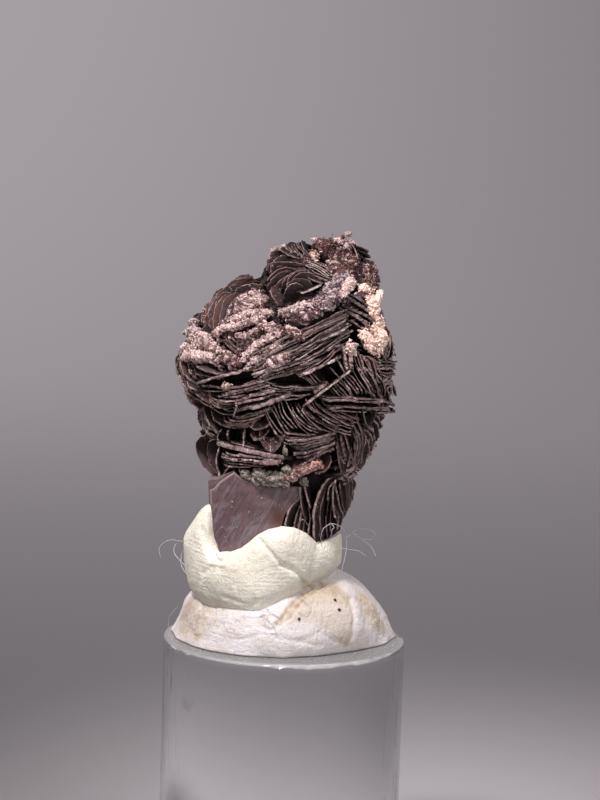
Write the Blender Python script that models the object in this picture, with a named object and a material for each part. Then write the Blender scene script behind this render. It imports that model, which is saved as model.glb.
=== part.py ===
"""A specular hematite specimen held by two lumps of mounting putty on the end of a clear acrylic rod.

All sizes are millimetres, turned to metres where a mesh is made. X runs right, Y to the back and Z up,
from the centre of the rod's lower face. A height is counted from the rod's upper face.
"""
import math
import random
from collections import namedtuple

import bmesh
import bpy
from mathutils import Matrix, Vector

MM = 0.001

# Driving dimensions
ROD_DIAMETER = 20.0
ROD_LENGTH = 25.0
ROD_BEVEL = 0.25
ROD_SIDES = 64
GAP = 0.3
# The socket's sides lean, so its gap is wider when it is measured level
SOCKET_GAP = 0.39

DOME_RADIUS = 9.3
DOME_SIDES = 36
# The dome's profile: share of its radius, height
DOME_PROFILE = [(1.0, 0.5), (0.97, 1.2), (0.89, 2.2), (0.76, 3.6), (0.6, 4.9), (0.45, 5.6), (0.25, 5.9)]
DOME_SEAT_DEPTH = 1.9
DOME_SEAT_RADIUS = 5.0
# Soft waves round the dome's edge: how many, how deep as a share of the radius, where they start
DOME_WAVES = ((3, 0.012, 0.6), (7, 0.008, 0.0))
# The foot is pressed in towards the front right, less with height, and the left shoulder swells
DOME_PRESS = 0.25
DOME_PRESS_TURN = 298
DOME_PRESS_FADE = 1.8
DOME_SHOULDER = 0.08
DOME_SHOULDER_HEIGHT = 3.2
DOME_SHOULDER_SPAN = 1.4

COLLAR_CENTRE = (-1.9, -0.2, 6.3)
COLLAR_RADII = (6.6, 6.9)
COLLAR_RISE = 4.6
COLLAR_DROP = 6.4
COLLAR_SIDES = 32
COLLAR_ROWS = 10
COLLAR_SQUARENESS = 2.4
COLLAR_LOBES = 5
COLLAR_LOBE_DEPTH = 0.02

PLATE_THICKNESS = 0.55
PLATE_SIDES = 7
CORE_INSETS = (1.2, 1.2, 1.25, 1.25, 1.25, 1.3, 1.5, 1.8, 1.7)
CORE_SIDES = 18
SIDE_TURNS = (66, 115, 165, 215, 280)
SIDE_HEIGHTS = (14.6, 17.6, 20.6, 23.4, 26.2)
TOP_BOOK_HEIGHTS = (29.2, 31.0)
TOP_BOOK_TURNS = (120, 170, 220)
TOP_BOOK_SHIFT = 3.0
SIDE_SEED = 11
LUMP_ROUGHNESS = 0.13
LUMP_SEED = 8

# The specimen's outline at each height: how far it reaches left, right, front and back
Ring = namedtuple("Ring", "height left right front back")
FOOT = [
    Ring(5.8, -4.6, 3.0, -4.4, 3.4),
    Ring(7.2, -5.5, 4.0, -4.8, 4.2),
    Ring(9.4, -6.1, 4.8, -5.0, 4.8),
    Ring(12.0, -6.4, 5.4, -5.0, 5.2),
]
HEAD = [
    Ring(14.5, -7.1, 6.3, -5.8, 5.6),
    Ring(17.5, -7.5, 7.4, -6.4, 6.0),
    Ring(20.0, -8.8, 8.5, -6.8, 6.4),
    Ring(22.5, -9.5, 8.6, -6.8, 6.6),
    Ring(25.0, -8.8, 8.2, -6.2, 6.4),
    Ring(27.2, -7.2, 7.5, -5.2, 6.0),
    Ring(29.2, -5.2, 6.9, -2.8, 5.4),
    Ring(31.2, -2.6, 6.4, -0.6, 4.6),
    Ring(32.6, 0.0, 5.6, 0.2, 3.6),
]

# A stack of plates: where its middle shows, the angle of its edges and how far its faces tilt to the
# viewer, half its length and depth, and how it repeats. turn is the side it is seen from: 0 the front,
# 90 the right.
Book = namedtuple("Book", "side height line tilt reach depth count pitch fan bow proud turn",
                  defaults=(1, 1.2, 0, 0, 0, 0))
FRONT_BOOKS = [
    # The crusted ridge and the sweep of edges under it
    Book(0.9, 26.6, 24, 8, 5.6, 2.8, 1, proud=0.1),
    Book(0.9, 24.6, 31, 0, 4.6, 2.8, 3, 1.1, fan=2, bow=0.02),
    Book(2.2, 22.9, 34, 0, 3.0, 2.4, 1),
    # The nearly level rims at the left and their turned-up left end
    Book(-3.3, 20.1, 12, 0, 4.9, 3.2, 4, 1.1, fan=-2, bow=0.03, proud=0.2),
    Book(-8.5, 22.2, 92, 10, 2.7, 2.2, 2, 1.0, bow=-0.1, turn=-18),
    Book(-6.8, 23.0, -24, 6, 2.2, 2.6, 1, turn=-10),
    # The hollow with crossed plates, and the nested petals at the upper left
    Book(-5.1, 24.4, -40, 10, 1.7, 2.2, 1),
    Book(-4.9, 26.0, 42, 52, 2.9, 2.4, 3, 0.9, bow=-0.03, proud=-0.4),
    # The open fan at the top and the bright ends behind it
    Book(0.3, 29.6, 0, 34, 3.0, 2.6, 3, 1.3, fan=-9, bow=0.03, proud=0.2),
    Book(0.2, 31.4, -50, 10, 1.3, 1.8, 2, 0.9, proud=0.3),
    Book(5.2, 31.9, -64, 10, 1.3, 2.0, 1, proud=0.4),
    Book(6.0, 30.1, 88, 60, 1.2, 0.9, 1, proud=0.5),
    # The right side's upright edges and the small level stack under them
    Book(7.2, 26.2, 106, 8, 2.6, 2.2, 2, 1.0, turn=22),
    Book(6.5, 22.6, -2, 0, 1.3, 2.0, 2, 0.9, turn=20),
    Book(7.0, 20.9, 76, 0, 1.2, 1.9, 1, turn=20, proud=0.1),
    # The herringbone: its upper edge, its rungs and the level band under it
    Book(3.0, 21.5, 42, 6, 2.9, 2.0, 1, proud=0.2),
    Book(4.9, 21.2, -46, 0, 1.6, 2.0, 3, 1.1, fan=9),
    Book(5.4, 19.7, 1, 0, 3.2, 2.6, 1, proud=0.3),
    # The two sheaves that fall from the herringbone's lower end
    Book(3.1, 18.6, -31, 0, 2.7, 2.6, 3, 1.1, fan=3, bow=0.05),
    Book(-0.1, 18.6, -52, 0, 2.0, 2.4, 2, 1.1, proud=-0.2),
    Book(-2.2, 17.3, -8, 32, 1.6, 1.5, 1),
    # The waist: one long bright edge, thin ones under it, slabs at the right
    Book(-3.6, 16.2, -13, 4, 3.3, 2.4, 1, proud=0.2),
    Book(-4.4, 15.0, -3, 0, 2.0, 2.2, 1),
    Book(1.8, 16.2, 17, 0, 2.6, 2.4, 2, 1.1, proud=0.1),
    Book(1.1, 14.5, 25, 0, 2.2, 2.2, 1, proud=0.2),
    Book(-6.3, 15.0, 88, 50, 1.9, 0.9, 1, turn=-12),
    Book(4.3, 15.7, 90, 62, 1.5, 0.9, 1, proud=0.1),
    Book(5.2, 15.3, 84, 55, 2.0, 0.9, 1, turn=22, proud=-0.5),
    # The upright plates beside the big crystal face
    Book(1.4, 11.9, 97, 0, 2.1, 1.6, 1, proud=0.3),
    Book(2.6, 12.0, 83, 0, 2.4, 1.6, 1, proud=0.5),
    Book(3.7, 12.1, 95, 0, 2.3, 1.6, 1, proud=0.6),
]

# The big crystal's flat face, left edge first, as it shows from the front, and where it starts and ends
CRYSTAL_FACE = [(-6.1, 9.4), (-6.4, 12.4), (-4.7, 14.0), (-3.9, 13.4), (0.9, 13.0), (1.0, 11.9),
                (0.1, 10.8), (-0.6, 9.0), (-0.9, 5.9), (-4.0, 5.9), (-5.3, 7.2)]
CRYSTAL_FRONT = -5.3
CRYSTAL_BACK = -1.5
CORNER_SHARE = 1.25

# Rounded lumps: centre, half sizes
Lump = namedtuple("Lump", "centre radii")
LUMPS = [
    Lump((3.6, 1.0, 31.3), (2.2, 2.2, 1.9)),
    Lump((6.0, -1.6, 26.9), (1.5, 2.0, 3.1)),
    Lump((-2.7, -5.2, 13.9), (1.2, 1.0, 0.8)),
    Lump((-0.4, -5.4, 14.0), (1.4, 1.0, 0.9)),
    Lump((-4.2, -2.6, 27.0), (2.3, 1.6, 1.9)),
]


def clear_scene():
    for item in list(bpy.data.objects):
        bpy.data.objects.remove(item, do_unlink=True)


def new_object(name, bm, split=True):
    """Puts a millimetre bmesh, whose heights count from the rod's upper face, into a metre object."""
    bm.normal_update()
    bmesh.ops.recalc_face_normals(bm, faces=bm.faces)
    if split:
        bmesh.ops.triangulate(bm, faces=bm.faces)
    bm.transform(Matrix.Scale(MM, 4) @ Matrix.Translation((0, 0, ROD_LENGTH)))
    mesh = bpy.data.meshes.new(name)
    bm.to_mesh(mesh)
    bm.free()
    item = bpy.data.objects.new(name, mesh)
    bpy.context.scene.collection.objects.link(item)
    return item


def new_material(name, colour, roughness, metallic=0.0):
    material = bpy.data.materials.new(name)
    material.use_nodes = True
    shader = material.node_tree.nodes["Principled BSDF"]
    shader.inputs["Base Color"].default_value = (*colour, 1)
    shader.inputs["Roughness"].default_value = roughness
    shader.inputs["Metallic"].default_value = metallic
    return material


def join_rows(bm, rows):
    """Skins rows of vertices, each a closed loop, and closes both ends."""
    for low, high in zip(rows, rows[1:]):
        for i in range(len(low)):
            j = (i + 1) % len(low)
            bm.faces.new((low[i], low[j], high[j], high[i]))
    bm.faces.new(rows[0][::-1])
    bm.faces.new(rows[-1])


def ring_point(ring, angle, inset):
    """A point of the outline at one height, made of quarter ellipses round the middle of its width."""
    middle = (ring.left + ring.right) / 2
    half = (ring.right - ring.left) / 2 - inset
    deep = (-ring.front if math.cos(angle) > 0 else ring.back) - inset
    return Vector((middle + half * math.sin(angle), -deep * math.cos(angle), ring.height))


def loft(rings, insets):
    """A closed body through the outline at each height, pulled in by that height's inset."""
    bm = bmesh.new()
    turns = [math.tau * i / CORE_SIDES for i in range(CORE_SIDES)]
    rows = [[bm.verts.new(ring_point(ring, turn, inset)) for turn in turns]
            for ring, inset in zip(rings, insets)]
    join_rows(bm, rows)
    return bm


def outline_at(height):
    """The specimen's outline between two rings of the list, in proportion."""
    rings = FOOT + HEAD
    for low, high in zip(rings, rings[1:]):
        if height <= high.height:
            share = max(0.0, (height - low.height) / (high.height - low.height))
            return Ring(*(a + (b - a) * share for a, b in zip(low, high)))
    return rings[-1]


def surface_depth(turn, side, height):
    """How far towards the viewer at that turn the outline reaches, found by halving."""
    ring = outline_at(height)
    across = Vector((math.cos(turn), math.sin(turn)))
    towards = Vector((math.sin(turn), -math.cos(turn)))
    middle = (ring.left + ring.right) / 2
    half = (ring.right - ring.left) / 2
    near, far = 0.0, 20.0
    for _ in range(24):
        reach = (near + far) / 2
        spot = across * side + towards * reach
        deep = ring.back if spot.y > 0 else -ring.front
        inside = ((spot.x - middle) / half) ** 2 + (spot.y / max(deep, 0.2)) ** 2 < 1
        near, far = (reach, far) if inside else (near, reach)
    return near


def plate(bm, centre, along, outward, normal, reach, depth, bow):
    """One plate: a seven-sided slab whose middle is pushed along its normal, like a shallow bowl."""
    faces = []
    for offset in (-PLATE_THICKNESS / 2, PLATE_THICKNESS / 2):
        rim = []
        for i in range(PLATE_SIDES):
            angle = math.tau * (i + 0.5) / PLATE_SIDES
            s, q = reach * math.cos(angle), depth * math.sin(angle)
            lift = offset + bow * (s * s - reach * reach / 2)
            rim.append(bm.verts.new(centre + along * s + outward * q + normal * lift))
        hub = bm.verts.new(centre + normal * (offset - bow * reach * reach / 2))
        faces.append((rim, hub))
    (low, low_hub), (high, high_hub) = faces
    for i in range(PLATE_SIDES):
        j = (i + 1) % PLATE_SIDES
        bm.faces.new((low[j], low[i], low_hub))
        bm.faces.new((high[i], high[j], high_hub))
        bm.faces.new((low[i], low[j], high[j]))
        bm.faces.new((low[i], high[j], high[i]))


def stack(bm, book):
    """Each plate of a book, a pitch apart, with its front edge on the specimen's outline."""
    turn = math.radians(book.turn)
    side_way = Vector((math.cos(turn), math.sin(turn), 0))
    viewer_way = Vector((math.sin(turn), -math.cos(turn), 0))
    for i in range(book.count):
        step = i - (book.count - 1) / 2
        line, tilt = math.radians(book.line + step * book.fan), math.radians(book.tilt)
        side = book.side - step * book.pitch * math.sin(line)
        height = book.height + step * book.pitch * math.cos(line)
        along = side_way * math.cos(line) + Vector((0, 0, math.sin(line)))
        across = -side_way * math.sin(line) + Vector((0, 0, math.cos(line)))
        normal = across * math.cos(tilt) + viewer_way * math.sin(tilt)
        outward = viewer_way * math.cos(tilt) - across * math.sin(tilt)
        front = surface_depth(turn, side, height) + book.proud - book.depth * math.cos(tilt)
        centre = side_way * side + viewer_way * front + Vector((0, 0, height))
        plate(bm, centre, along, outward, normal, book.reach, book.depth, book.bow)


def side_books():
    """Books round the sides and back, which swirl as the front's do: seeded, so they never change."""
    chance = random.Random(SIDE_SEED)
    books = []
    for row, height in enumerate(SIDE_HEIGHTS):
        for column, turn in enumerate(SIDE_TURNS):
            books.append(Book(chance.uniform(-0.8, 0.8), height + chance.uniform(-0.5, 0.5),
                              chance.uniform(-38, 38) + (16 if column % 2 else -16),
                              chance.uniform(-8, 12), chance.uniform(2.0, 2.7), chance.uniform(2.2, 2.8),
                              2, 1.35, fan=chance.uniform(-6, 6), proud=chance.uniform(-0.4, 0.0),
                              turn=turn + (12 if row % 2 else -4)))
    for height in TOP_BOOK_HEIGHTS:
        for turn in TOP_BOOK_TURNS:
            books.append(Book(TOP_BOOK_SHIFT * math.cos(math.radians(turn)), height,
                              chance.uniform(-30, 30), chance.uniform(0, 20), chance.uniform(1.4, 2.0), 1.8,
                              2, 1.1, proud=chance.uniform(-0.2, 0.1), turn=turn))
    return books


def prism(outline, front, back, grow=0.0):
    """A body with the outline given as (x, height) and flat faces to the front and back.

    grow moves every face outwards. A corner has to move further than the faces that meet there.
    """
    middle = Vector((sum(p[0] for p in outline), sum(p[1] for p in outline))) / len(outline)
    bm = bmesh.new()
    rows = []
    for y in (front - grow, back + grow):
        row = []
        for x, height in outline:
            way = Vector((x, height)) - middle
            way *= 1 + CORNER_SHARE * grow / way.length
            row.append(bm.verts.new((middle.x + way.x, y, middle.y + way.y)))
        rows.append(row)
    join_rows(bm, rows)
    return bm


def lump(bm, shape, chance):
    """A rough egg of the lump's half sizes: each corner is pushed in or out a little."""
    place = Matrix.Translation(shape.centre) @ Matrix.Diagonal((*shape.radii, 1))
    made = bmesh.ops.create_icosphere(bm, subdivisions=2, radius=1.0)
    for vert in made["verts"]:
        vert.co *= chance.uniform(1 - LUMP_ROUGHNESS, 1 + LUMP_ROUGHNESS)
    bmesh.ops.transform(bm, verts=made["verts"], matrix=place)


def boolean(target, cutter, operation, use_self=False):
    """Leaves a live Boolean on the target and hides its guide."""
    modifier = target.modifiers.new(operation.title(), "BOOLEAN")
    modifier.operation = operation
    modifier.solver = "EXACT"
    modifier.use_self = use_self
    modifier.object = cutter
    cutter.hide_render = True
    cutter.display_type = "WIRE"


def islands(bm):
    """The separate closed skins of a mesh, each a set of faces."""
    left = set(bm.faces)
    while left:
        found, edge_of_search = set(), [left.pop()]
        while edge_of_search:
            face = edge_of_search.pop()
            found.add(face)
            near = {other for edge in face.edges for other in edge.link_faces} & left
            left -= near
            edge_of_search.extend(near)
        yield found


def keep_outer_skin(item):
    """Applies the item's Booleans and fills the sealed holes that they leave between plates.

    A live modifier can't fill them: each hole is a skin of its own inside the outer one.
    """
    mesh = bpy.data.meshes.new_from_object(item.evaluated_get(bpy.context.evaluated_depsgraph_get()))
    item.modifiers.clear()
    item.data = mesh
    bm = bmesh.new()
    bm.from_mesh(mesh)
    skins = sorted(islands(bm), key=len)
    bmesh.ops.delete(bm, geom=[face for skin in skins[:-1] for face in skin], context="FACES")
    bm.to_mesh(mesh)
    bm.free()


def make_specimen(material):
    """The core, the crystal, the lumps and every plate, grown together as one solid."""
    rings = FOOT + HEAD
    specimen = new_object("hematite_specimen", loft(rings, [0.0] * len(FOOT) + list(CORE_INSETS)))
    crystal = new_object("crystal_guide", prism(CRYSTAL_FACE, CRYSTAL_FRONT, CRYSTAL_BACK))
    bm = bmesh.new()
    for book in FRONT_BOOKS + side_books():
        stack(bm, book)
    chance = random.Random(LUMP_SEED)
    for shape in LUMPS:
        lump(bm, shape, chance)
    grown = new_object("growth_guide", bm)
    boolean(specimen, crystal, "UNION")
    boolean(specimen, grown, "UNION", use_self=True)
    keep_outer_skin(specimen)
    specimen.data.materials.append(material)
    return specimen


def dome_swell(angle, height):
    """How much further than its round profile the dome reaches, as a factor."""
    wave = sum(deep * math.sin(times * angle + start) for times, deep, start in DOME_WAVES)
    pressed = max(0.0, math.cos(angle - math.radians(DOME_PRESS_TURN))) ** 1.5
    press = DOME_PRESS * pressed * math.exp(-height / DOME_PRESS_FADE)
    rise = (height - DOME_SHOULDER_HEIGHT) / DOME_SHOULDER_SPAN
    shoulder = DOME_SHOULDER * max(0.0, -math.cos(angle)) ** 2 * math.exp(-rise * rise)
    return 1 + wave - press + shoulder


def dome_rows(grow):
    """The dome's outline turned round, with a low spot under the collar; grow thickens it outwards."""
    rows = [[(DOME_RADIUS + grow, GAP - grow)] * DOME_SIDES]
    for share, height in DOME_PROFILE:
        rows.append([(DOME_RADIUS * share + grow, height + grow)] * DOME_SIDES)
    placed = []
    for row in rows:
        ring = []
        for i, (radius, height) in enumerate(row):
            angle = math.tau * i / DOME_SIDES
            reach = radius * dome_swell(angle, height - grow)
            x, y = reach * math.cos(angle), reach * math.sin(angle)
            away = math.hypot(x - COLLAR_CENTRE[0], y - COLLAR_CENTRE[1]) / DOME_SEAT_RADIUS
            sink = DOME_SEAT_DEPTH * max(0.0, 1 - away * away)
            ring.append((x, y, height - sink))
        placed.append(ring)
    return placed


def dome_body(grow=0.0):
    bm = bmesh.new()
    rows = [[bm.verts.new(spot) for spot in ring] for ring in dome_rows(grow)]
    join_rows(bm, rows)
    bmesh.ops.poke(bm, faces=[face for face in bm.faces if len(face.verts) > 4][-1:])
    return bm


def make_dome(material):
    dome = new_object("tack_dome", dome_body())
    dome.data.materials.append(material)
    dome.data.shade_smooth()
    return dome


def collar_body():
    """A squarish egg with soft lobes round its waist."""
    bm = bmesh.new()
    cx, cy, cz = COLLAR_CENTRE
    rows = []
    for row in range(1, COLLAR_ROWS):
        slope = math.pi * row / COLLAR_ROWS - math.pi / 2
        lift = math.copysign(abs(math.sin(slope)) ** (2 / COLLAR_SQUARENESS), slope)
        spread = math.cos(slope) ** (2 / COLLAR_SQUARENESS)
        height = cz + lift * (COLLAR_RISE if lift > 0 else COLLAR_DROP)
        loop = []
        for i in range(COLLAR_SIDES):
            angle = math.tau * i / COLLAR_SIDES
            lobe = 1 + COLLAR_LOBE_DEPTH * math.sin(COLLAR_LOBES * angle + 1.0)
            loop.append(bm.verts.new((cx + COLLAR_RADII[0] * spread * lobe * math.cos(angle),
                                      cy + COLLAR_RADII[1] * spread * lobe * math.sin(angle), height)))
        rows.append(loop)
    join_rows(bm, rows)
    return bm


def make_collar(material):
    """The collar, hollowed for the specimen's foot and seated on the dome, a gap away from both."""
    collar = new_object("tack_collar", collar_body())
    seat = new_object("seat_guide", dome_body(GAP))
    rings = [FOOT[0]._replace(height=FOOT[0].height - GAP)] + FOOT[1:] + HEAD[:1]
    foot = new_object("foot_guide", loft(rings, [-SOCKET_GAP] * len(rings)))
    crystal = new_object("face_guide", prism(CRYSTAL_FACE, CRYSTAL_FRONT, CRYSTAL_BACK, GAP))
    for guide in (seat, foot, crystal):
        boolean(collar, guide, "DIFFERENCE")
    collar.data.materials.append(material)
    collar.data.shade_smooth()
    return collar


def make_rod(material):
    bm = bmesh.new()
    bmesh.ops.create_cone(bm, cap_ends=True, segments=ROD_SIDES, radius1=ROD_DIAMETER / 2,
                          radius2=ROD_DIAMETER / 2, depth=ROD_LENGTH,
                          matrix=Matrix.Translation((0, 0, -ROD_LENGTH / 2)))
    rod = new_object("acrylic_rod", bm, split=False)
    edge = rod.modifiers.new("Bevel", "BEVEL")
    edge.width = ROD_BEVEL * MM
    edge.segments = 1
    edge.limit_method = "ANGLE"
    edge.angle_limit = math.radians(60)
    rod.data.materials.append(material)
    rod.data.shade_smooth()
    rod.data.set_sharp_from_angle(angle=math.radians(30))
    return rod


def main():
    clear_scene()
    make_rod(new_material("clear_acrylic", (0.9, 0.92, 0.93), 0.08))
    make_dome(new_material("white_tack", (0.78, 0.76, 0.72), 0.55))
    make_collar(new_material("cream_tack", (0.74, 0.72, 0.62), 0.6))
    make_specimen(new_material("hematite", (0.075, 0.05, 0.05), 0.38, 0.55))


main()
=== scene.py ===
"""Dresses the specular hematite specimen that stands in putty on the end of a clear rod.

Lengths are millimetres and heights count from the rod's upper face; both become metres where a mesh is
made. X runs right and Y to the back. A pixel is (across, down) in the photograph's 600 x 800 frame, and
a shape placed by one lies on the specimen's or the putty's own surface.
"""
import math
import random
from collections import namedtuple

import bpy
import numpy as np
from mathutils import Matrix, Vector


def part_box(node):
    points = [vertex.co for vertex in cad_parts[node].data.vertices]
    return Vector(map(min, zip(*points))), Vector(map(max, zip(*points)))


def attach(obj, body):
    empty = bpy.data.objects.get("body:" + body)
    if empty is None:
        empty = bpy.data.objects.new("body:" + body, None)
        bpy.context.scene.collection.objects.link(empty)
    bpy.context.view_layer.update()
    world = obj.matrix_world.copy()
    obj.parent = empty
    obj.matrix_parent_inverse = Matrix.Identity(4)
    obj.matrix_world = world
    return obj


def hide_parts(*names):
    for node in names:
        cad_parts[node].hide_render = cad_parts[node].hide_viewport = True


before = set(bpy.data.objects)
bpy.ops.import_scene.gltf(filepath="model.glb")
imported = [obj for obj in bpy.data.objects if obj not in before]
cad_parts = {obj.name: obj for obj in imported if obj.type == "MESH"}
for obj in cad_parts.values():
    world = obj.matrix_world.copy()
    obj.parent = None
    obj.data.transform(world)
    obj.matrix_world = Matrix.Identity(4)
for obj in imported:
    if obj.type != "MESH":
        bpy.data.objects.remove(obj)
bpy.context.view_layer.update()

MM = 0.001
TURN = 2 * math.pi
ROD_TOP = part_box("acrylic_rod")[1].z / MM
ROD_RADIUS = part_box("acrylic_rod")[1].x / MM

# Camera
CAMERA_PLACE = np.array([0.692, -145.088, 34.022])
CAMERA_PITCH = math.radians(5.642)
CAMERA_ROLL = math.radians(1.839)
LENS, SENSOR = 80, 36
FRAME_WIDTH, FRAME_HEIGHT = 600, 800
FOCAL = LENS / SENSOR * FRAME_HEIGHT
CLIP_METRES = (0.002, 20)

LEVEL = np.array([1.0, 0.0, 0.0])
SKY = np.array([0.0, 0.0, 1.0])
BACK = np.array([0.0, 1.0, 0.0])
LOOK = np.array([0.0, math.cos(CAMERA_PITCH), -math.sin(CAMERA_PITCH)])
LOOK_UP = np.cross(LEVEL, LOOK) * math.cos(CAMERA_ROLL) - LEVEL * math.sin(CAMERA_ROLL)
LOOK_RIGHT = LEVEL * math.cos(CAMERA_ROLL) + np.cross(LEVEL, LOOK) * math.sin(CAMERA_ROLL)

# The specimen's outline at each height: how far it reaches left, right, front and back
HEIGHTS = (5.8, 7.2, 9.4, 12.0, 14.5, 17.5, 20.0, 22.5, 25.0, 27.2, 29.2, 31.2, 32.6)
LEFTS = (-4.6, -5.5, -6.1, -6.4, -7.1, -7.5, -8.8, -9.5, -8.8, -7.2, -5.2, -2.6, 0.0)
RIGHTS = (3.0, 4.0, 4.8, 5.4, 6.3, 7.4, 8.5, 8.6, 8.2, 7.5, 6.9, 6.4, 5.6)
FRONTS = (4.4, 4.8, 5.0, 5.0, 5.8, 6.4, 6.8, 6.8, 6.2, 5.2, 2.8, 0.6, -0.2)
BACKS = (3.4, 4.2, 4.8, 5.2, 5.6, 6.0, 6.4, 6.6, 6.4, 6.0, 5.4, 4.6, 3.6)
CORE_INSETS = (0.3, 0.3, 0.6, 1.2, 1.7, 1.9, 2.0, 2.0, 2.0, 2.0, 2.2, 2.4, 2.2)
FARTHEST = 20.0
LEAST_DEEP = 0.2
HALVINGS = 24


# Places

def seen(pixels, depth):
    """Where each pixel's line of sight meets the upright plane at that depth (Y)."""
    pixels = np.asarray(pixels, float)
    across = (pixels[..., :1] - FRAME_WIDTH / 2) / FOCAL
    up = (FRAME_HEIGHT / 2 - pixels[..., 1:]) / FOCAL
    sight = LOOK + LOOK_RIGHT * across + LOOK_UP * up
    return CAMERA_PLACE + sight * ((depth - CAMERA_PLACE[1]) / sight[..., 1])[..., None]


def pixel_of(points):
    """The pixel at which each point shows."""
    sight = points - CAMERA_PLACE
    far = sight @ LOOK
    return np.stack([FRAME_WIDTH / 2 + sight @ LOOK_RIGHT / far * FOCAL,
                     FRAME_HEIGHT / 2 - sight @ LOOK_UP / far * FOCAL], -1)


def outline_at(heights):
    """The specimen's left, right, front and back reach at each height, in proportion between the rings."""
    return [np.interp(heights, HEIGHTS, reach) for reach in (LEFTS, RIGHTS, FRONTS, BACKS)]


def surface_reach(turns, sides, heights):
    """How far from the axis the outline reaches, seen from each turn, found by halving.

    The outline at one height is made of quarter ellipses round the middle of its width.
    """
    left, right, front, back = outline_at(heights)
    middle, half = (left + right) / 2, (right - left) / 2
    near, far = np.zeros_like(middle), np.full_like(middle, FARTHEST)
    for _ in range(HALVINGS):
        reach = (near + far) / 2
        x = np.cos(turns) * sides + np.sin(turns) * reach
        y = np.sin(turns) * sides - np.cos(turns) * reach
        deep = np.maximum(np.where(y > 0, back, front), LEAST_DEEP)
        inside = ((x - middle) / half) ** 2 + (y / deep) ** 2 < 1
        near, far = np.where(inside, reach, near), np.where(inside, far, reach)
    return near


def depth_at(pixels, reach_of, depth, steps):
    """The depth of a front at each pixel, found in halfway steps from how far reach_of says it stands out."""
    depth = np.full(np.shape(pixels)[:-1], depth)
    for _ in range(steps):
        depth = 0.5 * depth - 0.5 * reach_of(seen(pixels, depth))
    return depth


def on_specimen(pixels, proud=0.0):
    """The point of the specimen's front that shows at each pixel, moved towards the viewer by proud."""
    def reach_of(spots):
        return surface_reach(0 * spots[..., 0], spots[..., 0], spots[..., 2])

    depth = depth_at(pixels, reach_of, -5.0, 10)
    return seen(pixels, depth - np.reshape(proud, (-1,) + (1,) * (depth.ndim - 1)))


def ways_at(turn):
    """As seen from that turn round the axis: the way to the right and the way to the viewer."""
    return np.array([math.cos(turn), math.sin(turn), 0.0]), np.array([math.sin(turn), -math.cos(turn), 0.0])


def on_side(turn, sides, heights, proud):
    """Points of the specimen's outline as seen from that turn, moved towards that viewer by proud."""
    side_way, viewer_way = ways_at(turn)
    reach = surface_reach(np.full(len(sides), turn), sides, heights) + proud
    return side_way * sides[:, None] + viewer_way * reach[:, None] + SKY * heights[:, None]


def circle(angle, radius, height):
    """Points round the axis at each angle. The radius and the height may vary."""
    return np.stack([radius * np.cos(angle), radius * np.sin(angle), height + 0 * angle], -1)


def unit(vectors):
    return vectors / np.maximum(np.linalg.norm(vectors, axis=-1, keepdims=True), 1e-9)


def curve_through(stops, count):
    """A smooth path through the stops: each stretch is the cubic whose slopes join its neighbours."""
    stops = np.concatenate([[2 * stops[0] - stops[1]], stops, [2 * stops[-1] - stops[-2]]])
    places = np.linspace(0, len(stops) - 3 - 1e-6, count)
    i, t = places.astype(int), (places % 1)[:, None]
    a, b, c, d = [stops[i + step] for step in range(4)]
    squares, cubes = 2 * a - 5 * b + 4 * c - d, 3 * b - a - 3 * c + d
    return 0.5 * (2 * b + (c - a) * t + squares * t ** 2 + cubes * t ** 3)


def ripple(points, longest, shortest, seed, fade=0.8):
    """Smooth unevenness of about -1 to 1: sine waves in random directions, the shorter ones lower."""
    rng = np.random.default_rng(seed)
    count = max(2, round(2 * math.log2(longest / shortest)) + 1)
    total, whole = 0.0, 0.0
    for length in np.geomspace(longest, shortest, count):
        share = (length / longest) ** fade
        ways = unit(rng.normal(size=(3, 3)))
        starts = rng.uniform(0, TURN, 3)
        total = total + share * np.sin(points @ ways.T * TURN / length + starts).sum(-1)
        whole += share
    return total / (1.5 * whole)


# Meshes

Shape = namedtuple("Shape", "points quads triangles marks")


def join_shapes(shapes):
    """One shape of several, each with its own corner numbers moved up."""
    starts = np.cumsum([0] + [len(shape.points) for shape in shapes[:-1]])
    return Shape(np.concatenate([shape.points for shape in shapes]),
                 np.concatenate([shape.quads + start for shape, start in zip(shapes, starts)]),
                 np.concatenate([shape.triangles + start for shape, start in zip(shapes, starts)]),
                 np.concatenate([shape.marks for shape in shapes]))


def part_of(shape, count, first, last):
    """Those shells alone, first to last, of a shape made of count shells that are all alike."""
    points, quads, triangles = [len(part) // count for part in shape[:3]]
    return Shape(shape.points[first * points:last * points],
                 shape.quads[first * quads:last * quads] - first * points,
                 shape.triangles[first * triangles:last * triangles] - first * points,
                 shape.marks[first * points:last * points])


def shells(rings, low_poles, high_poles, ring_marks, pole_marks):
    """Closed skins, all alike: rings (shells, rows, around, 3) joined by quads, and a fan to each pole."""
    count, rows, around = rings.shape[:3]
    size = rows * around + 2
    index = np.arange(rows * around).reshape(rows, around)
    after = np.roll(index, -1, axis=1)
    quads = np.stack([index[:-1], after[:-1], after[1:], index[1:]], -1).reshape(-1, 4)
    low = np.stack([np.full(around, size - 2), after[0], index[0]], -1)
    high = np.stack([np.full(around, size - 1), index[-1], after[-1]], -1)
    fans = np.concatenate([low, high])
    moves = np.arange(count)[:, None, None] * size
    points = np.concatenate([rings.reshape(count, -1, 3), low_poles[:, None], high_poles[:, None]], 1)
    channels = ring_marks.shape[-1]
    marks = np.concatenate([ring_marks.reshape(count, -1, channels), pole_marks[:, None],
                            pole_marks[:, None]], 1)
    return Shape(points.reshape(-1, 3), (quads + moves).reshape(-1, 4), (fans + moves).reshape(-1, 3),
                 marks.reshape(-1, channels))


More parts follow.
